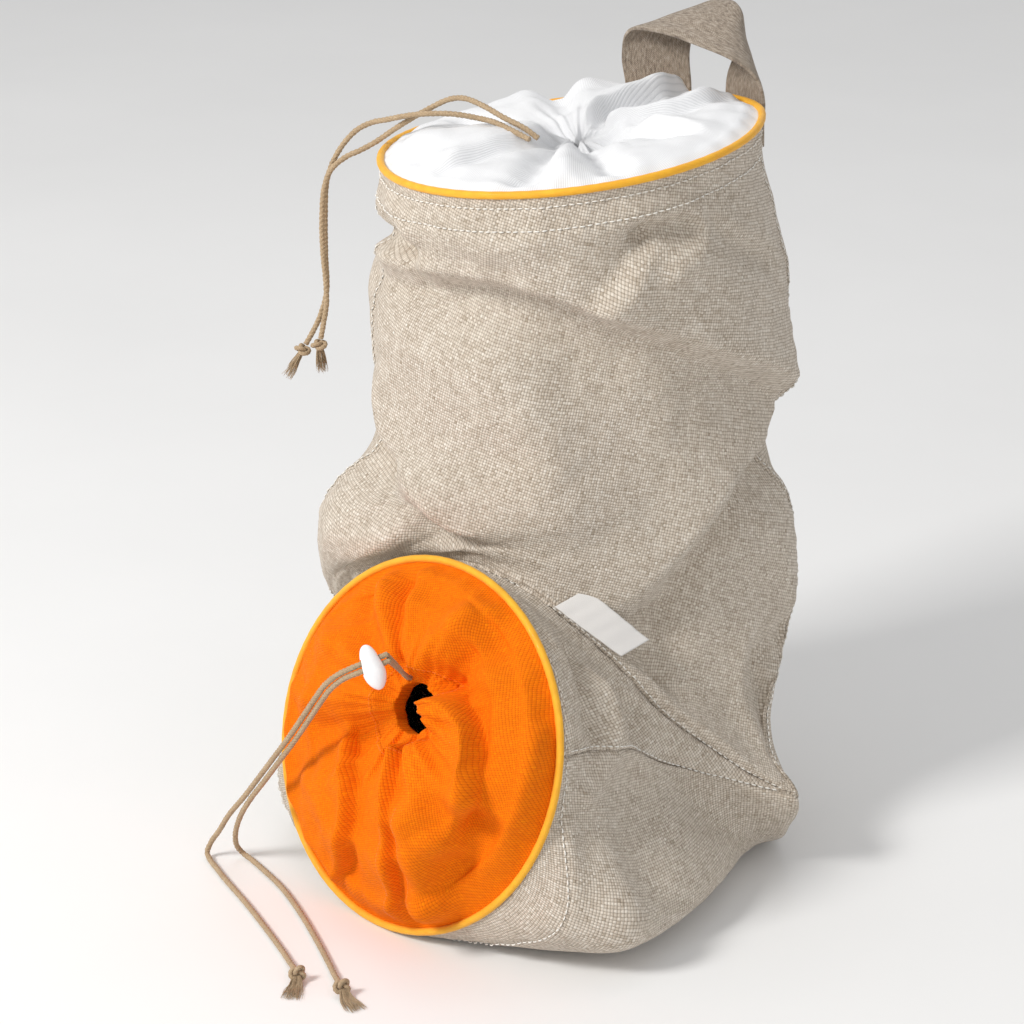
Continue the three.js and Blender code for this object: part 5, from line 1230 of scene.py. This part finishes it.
spout_route_a = [*beside(-PAIR_HALF), *SPOUT_TAIL_A]
spout_route_b = [*beside(PAIR_HALF), *SPOUT_TAIL_B]
top_a, top_line_a = twine("top_cord_a", [from_rim(p) for p in TOP_CORD_A], 1)
top_b, top_line_b = twine("top_cord_b", [from_rim(p) for p in TOP_CORD_B], 2)
spout_a, spout_line_a = twine("spout_cord_a", spout_route_a, 3)
spout_b, spout_line_b = twine("spout_cord_b", spout_route_b, 4)
KNOT_HEIGHT = FLOOR + 4.9  # of the knots that lie on the floor
top_knot_a, top_knot_b, floor_knot_a, floor_knot_b = [frayed_knot(*row) for row in (
    ("top_knot_a", from_rim([-134.8, 17, 260.6]), (0, 0, 1), (0.1, 0, -1), 17, 4, False, 21),
    ("top_knot_b", from_rim([-144.2, 22, 256]), (0.3, 0.3, 1), (-0.4, -0.4, -1), 19, 5, False, 22),
    ("spout_knot_a", (27.5, -234.6, KNOT_HEIGHT), (-0.85, 0.5, 0), (0.6, -0.8, 0), 19, 6, True, 23),
    ("spout_knot_b", (53, -227.6, KNOT_HEIGHT), (-0.85, 0.5, 0), (0.95, -0.3, 0), 19, 6, True, 24))]


def spout_cord_root():
    """The little of the two spout cords that shows between the casing and the lock."""
    out, stubs = SPOUT["normal"], []
    exits = cover_point(SPOUT, np.array([118.0, 112.0]), np.array([0.96, 0.96]))
    for seed, (end, start) in enumerate(zip(exits, np.array([spout_route_a[0], spout_route_b[0]]))):
        over = lerp(end, start, 0.6) + out * 1.2
        line = catmull([end - out * 2, end + out * 1.5, over, start + LOCK_AXIS * 0.6], np.linspace(0, 1, 90))
        stubs.append(twisted(line, 1.4, 14, TWIST, seed)[:2])
    points, faces = joined(stubs)
    return keep(add_mesh("spout_cord_root", points, faces, TWINE))


def cord_lock(rings=49, sides=72):
    """A glossy bean with a slot for the cords."""
    lat, lon = np.meshgrid(np.linspace(0, math.pi, rings), math.tau * np.arange(sides) / sides, indexing="ij")
    bx, by, bz = np.sin(lat) * np.cos(lon), np.cos(lat), np.sin(lat) * np.sin(lon)
    full = 1 + 0.08 * np.sin(math.pi * by)
    bean = (LOCK_CENTRE + (LOCK_LONG_SIZE / 2 * by)[..., None] * LOCK_LONG
            + (LOCK_WIDE / 2 * bx * full)[..., None] * LOCK_AXIS
            + (LOCK_THICK / 2 * bz * full)[..., None] * np.cross(LOCK_AXIS, LOCK_LONG))
    obj = add_mesh("cord_lock", bean, grid_faces(rings, sides, True), PLASTIC)
    weld(obj)
    mesh = bpy.data.meshes.new("lock_slot")
    half = np.array([LOCK_SLOT[0], LOCK_WIDE * 2, LOCK_SLOT[1]]) / 2
    corners = np.array([[a, b, c] for a in (-1, 1) for b in (-1, 1) for c in (-1, 1)], float) * half
    axes = np.stack([LOCK_LONG, LOCK_AXIS, np.cross(LOCK_LONG, LOCK_AXIS)])
    sides_of_box = [[0, 1, 3, 2], [4, 6, 7, 5], [0, 4, 5, 1], [2, 3, 7, 6], [0, 2, 6, 4], [1, 5, 7, 3]]
    mesh.from_pydata(((corners @ axes + np.array(PAIR[1]) + SHIFT) * MM).tolist(), [], sides_of_box)
    cutter = bpy.data.objects.new("lock_slot", mesh)
    bpy.context.scene.collection.objects.link(cutter)
    cut = obj.modifiers.new("slot", "BOOLEAN")
    cut.operation, cut.object, cut.solver = "DIFFERENCE", cutter, "EXACT"
    bpy.context.view_layer.update()
    final = bpy.data.meshes.new_from_object(obj.evaluated_get(bpy.context.evaluated_depsgraph_get()))
    obj.modifiers.clear()
    obj.data = final
    bpy.data.objects.remove(cutter)
    return keep(obj, "cord_lock")


cord_root = spout_cord_root()
lock = cord_lock()


# Floor and light.
def add_floor(half=4, z=-0.0002):
    mesh = bpy.data.meshes.new("floor")
    corners = [(-half, -half, z), (half, -half, z), (half, half, z), (-half, half, z)]
    mesh.from_pydata(corners, [], [(0, 1, 2, 3)])
    mesh.materials.append(pale_floor())
    floor = bpy.data.objects.new("floor", mesh)
    bpy.context.scene.collection.objects.link(floor)


def area_light(name, place, aim, size, power, tint):
    data = bpy.data.lights.new(name, "AREA")
    data.size, data.energy, data.color = size, power, tint
    back = unit(np.array(place, float) - np.array(aim, float))
    x = unit(np.cross([0.0, 0.0, 1.0], back))
    placed(name, data, x, np.cross(back, x), back, place)


def add_world(brightness=0.56):
    world = bpy.data.worlds.new("studio")
    world.use_nodes = True
    background = world.node_tree.nodes["Background"].inputs
    background[0].default_value = (1.0, 1.0, 1.0, 1.0)
    background[1].default_value = brightness
    bpy.context.scene.world = world
    bpy.context.scene.view_settings.view_transform = "Standard"


add_floor()
area_light("key", (-0.5, -1.9, 1.75), (0.0, 0.0, 0.2), 0.6, 46.0, (1.0, 0.985, 0.96))
area_light("fill", (1.9, -0.6, 0.9), (0.0, 0.0, 0.2), 1.3, 4.0, (0.96, 0.98, 1.0))
area_light("top", (-0.6, 0.5, 2.2), (0.0, 0.0, 0.3), 1.2, 5.0, PLAIN)
add_world()
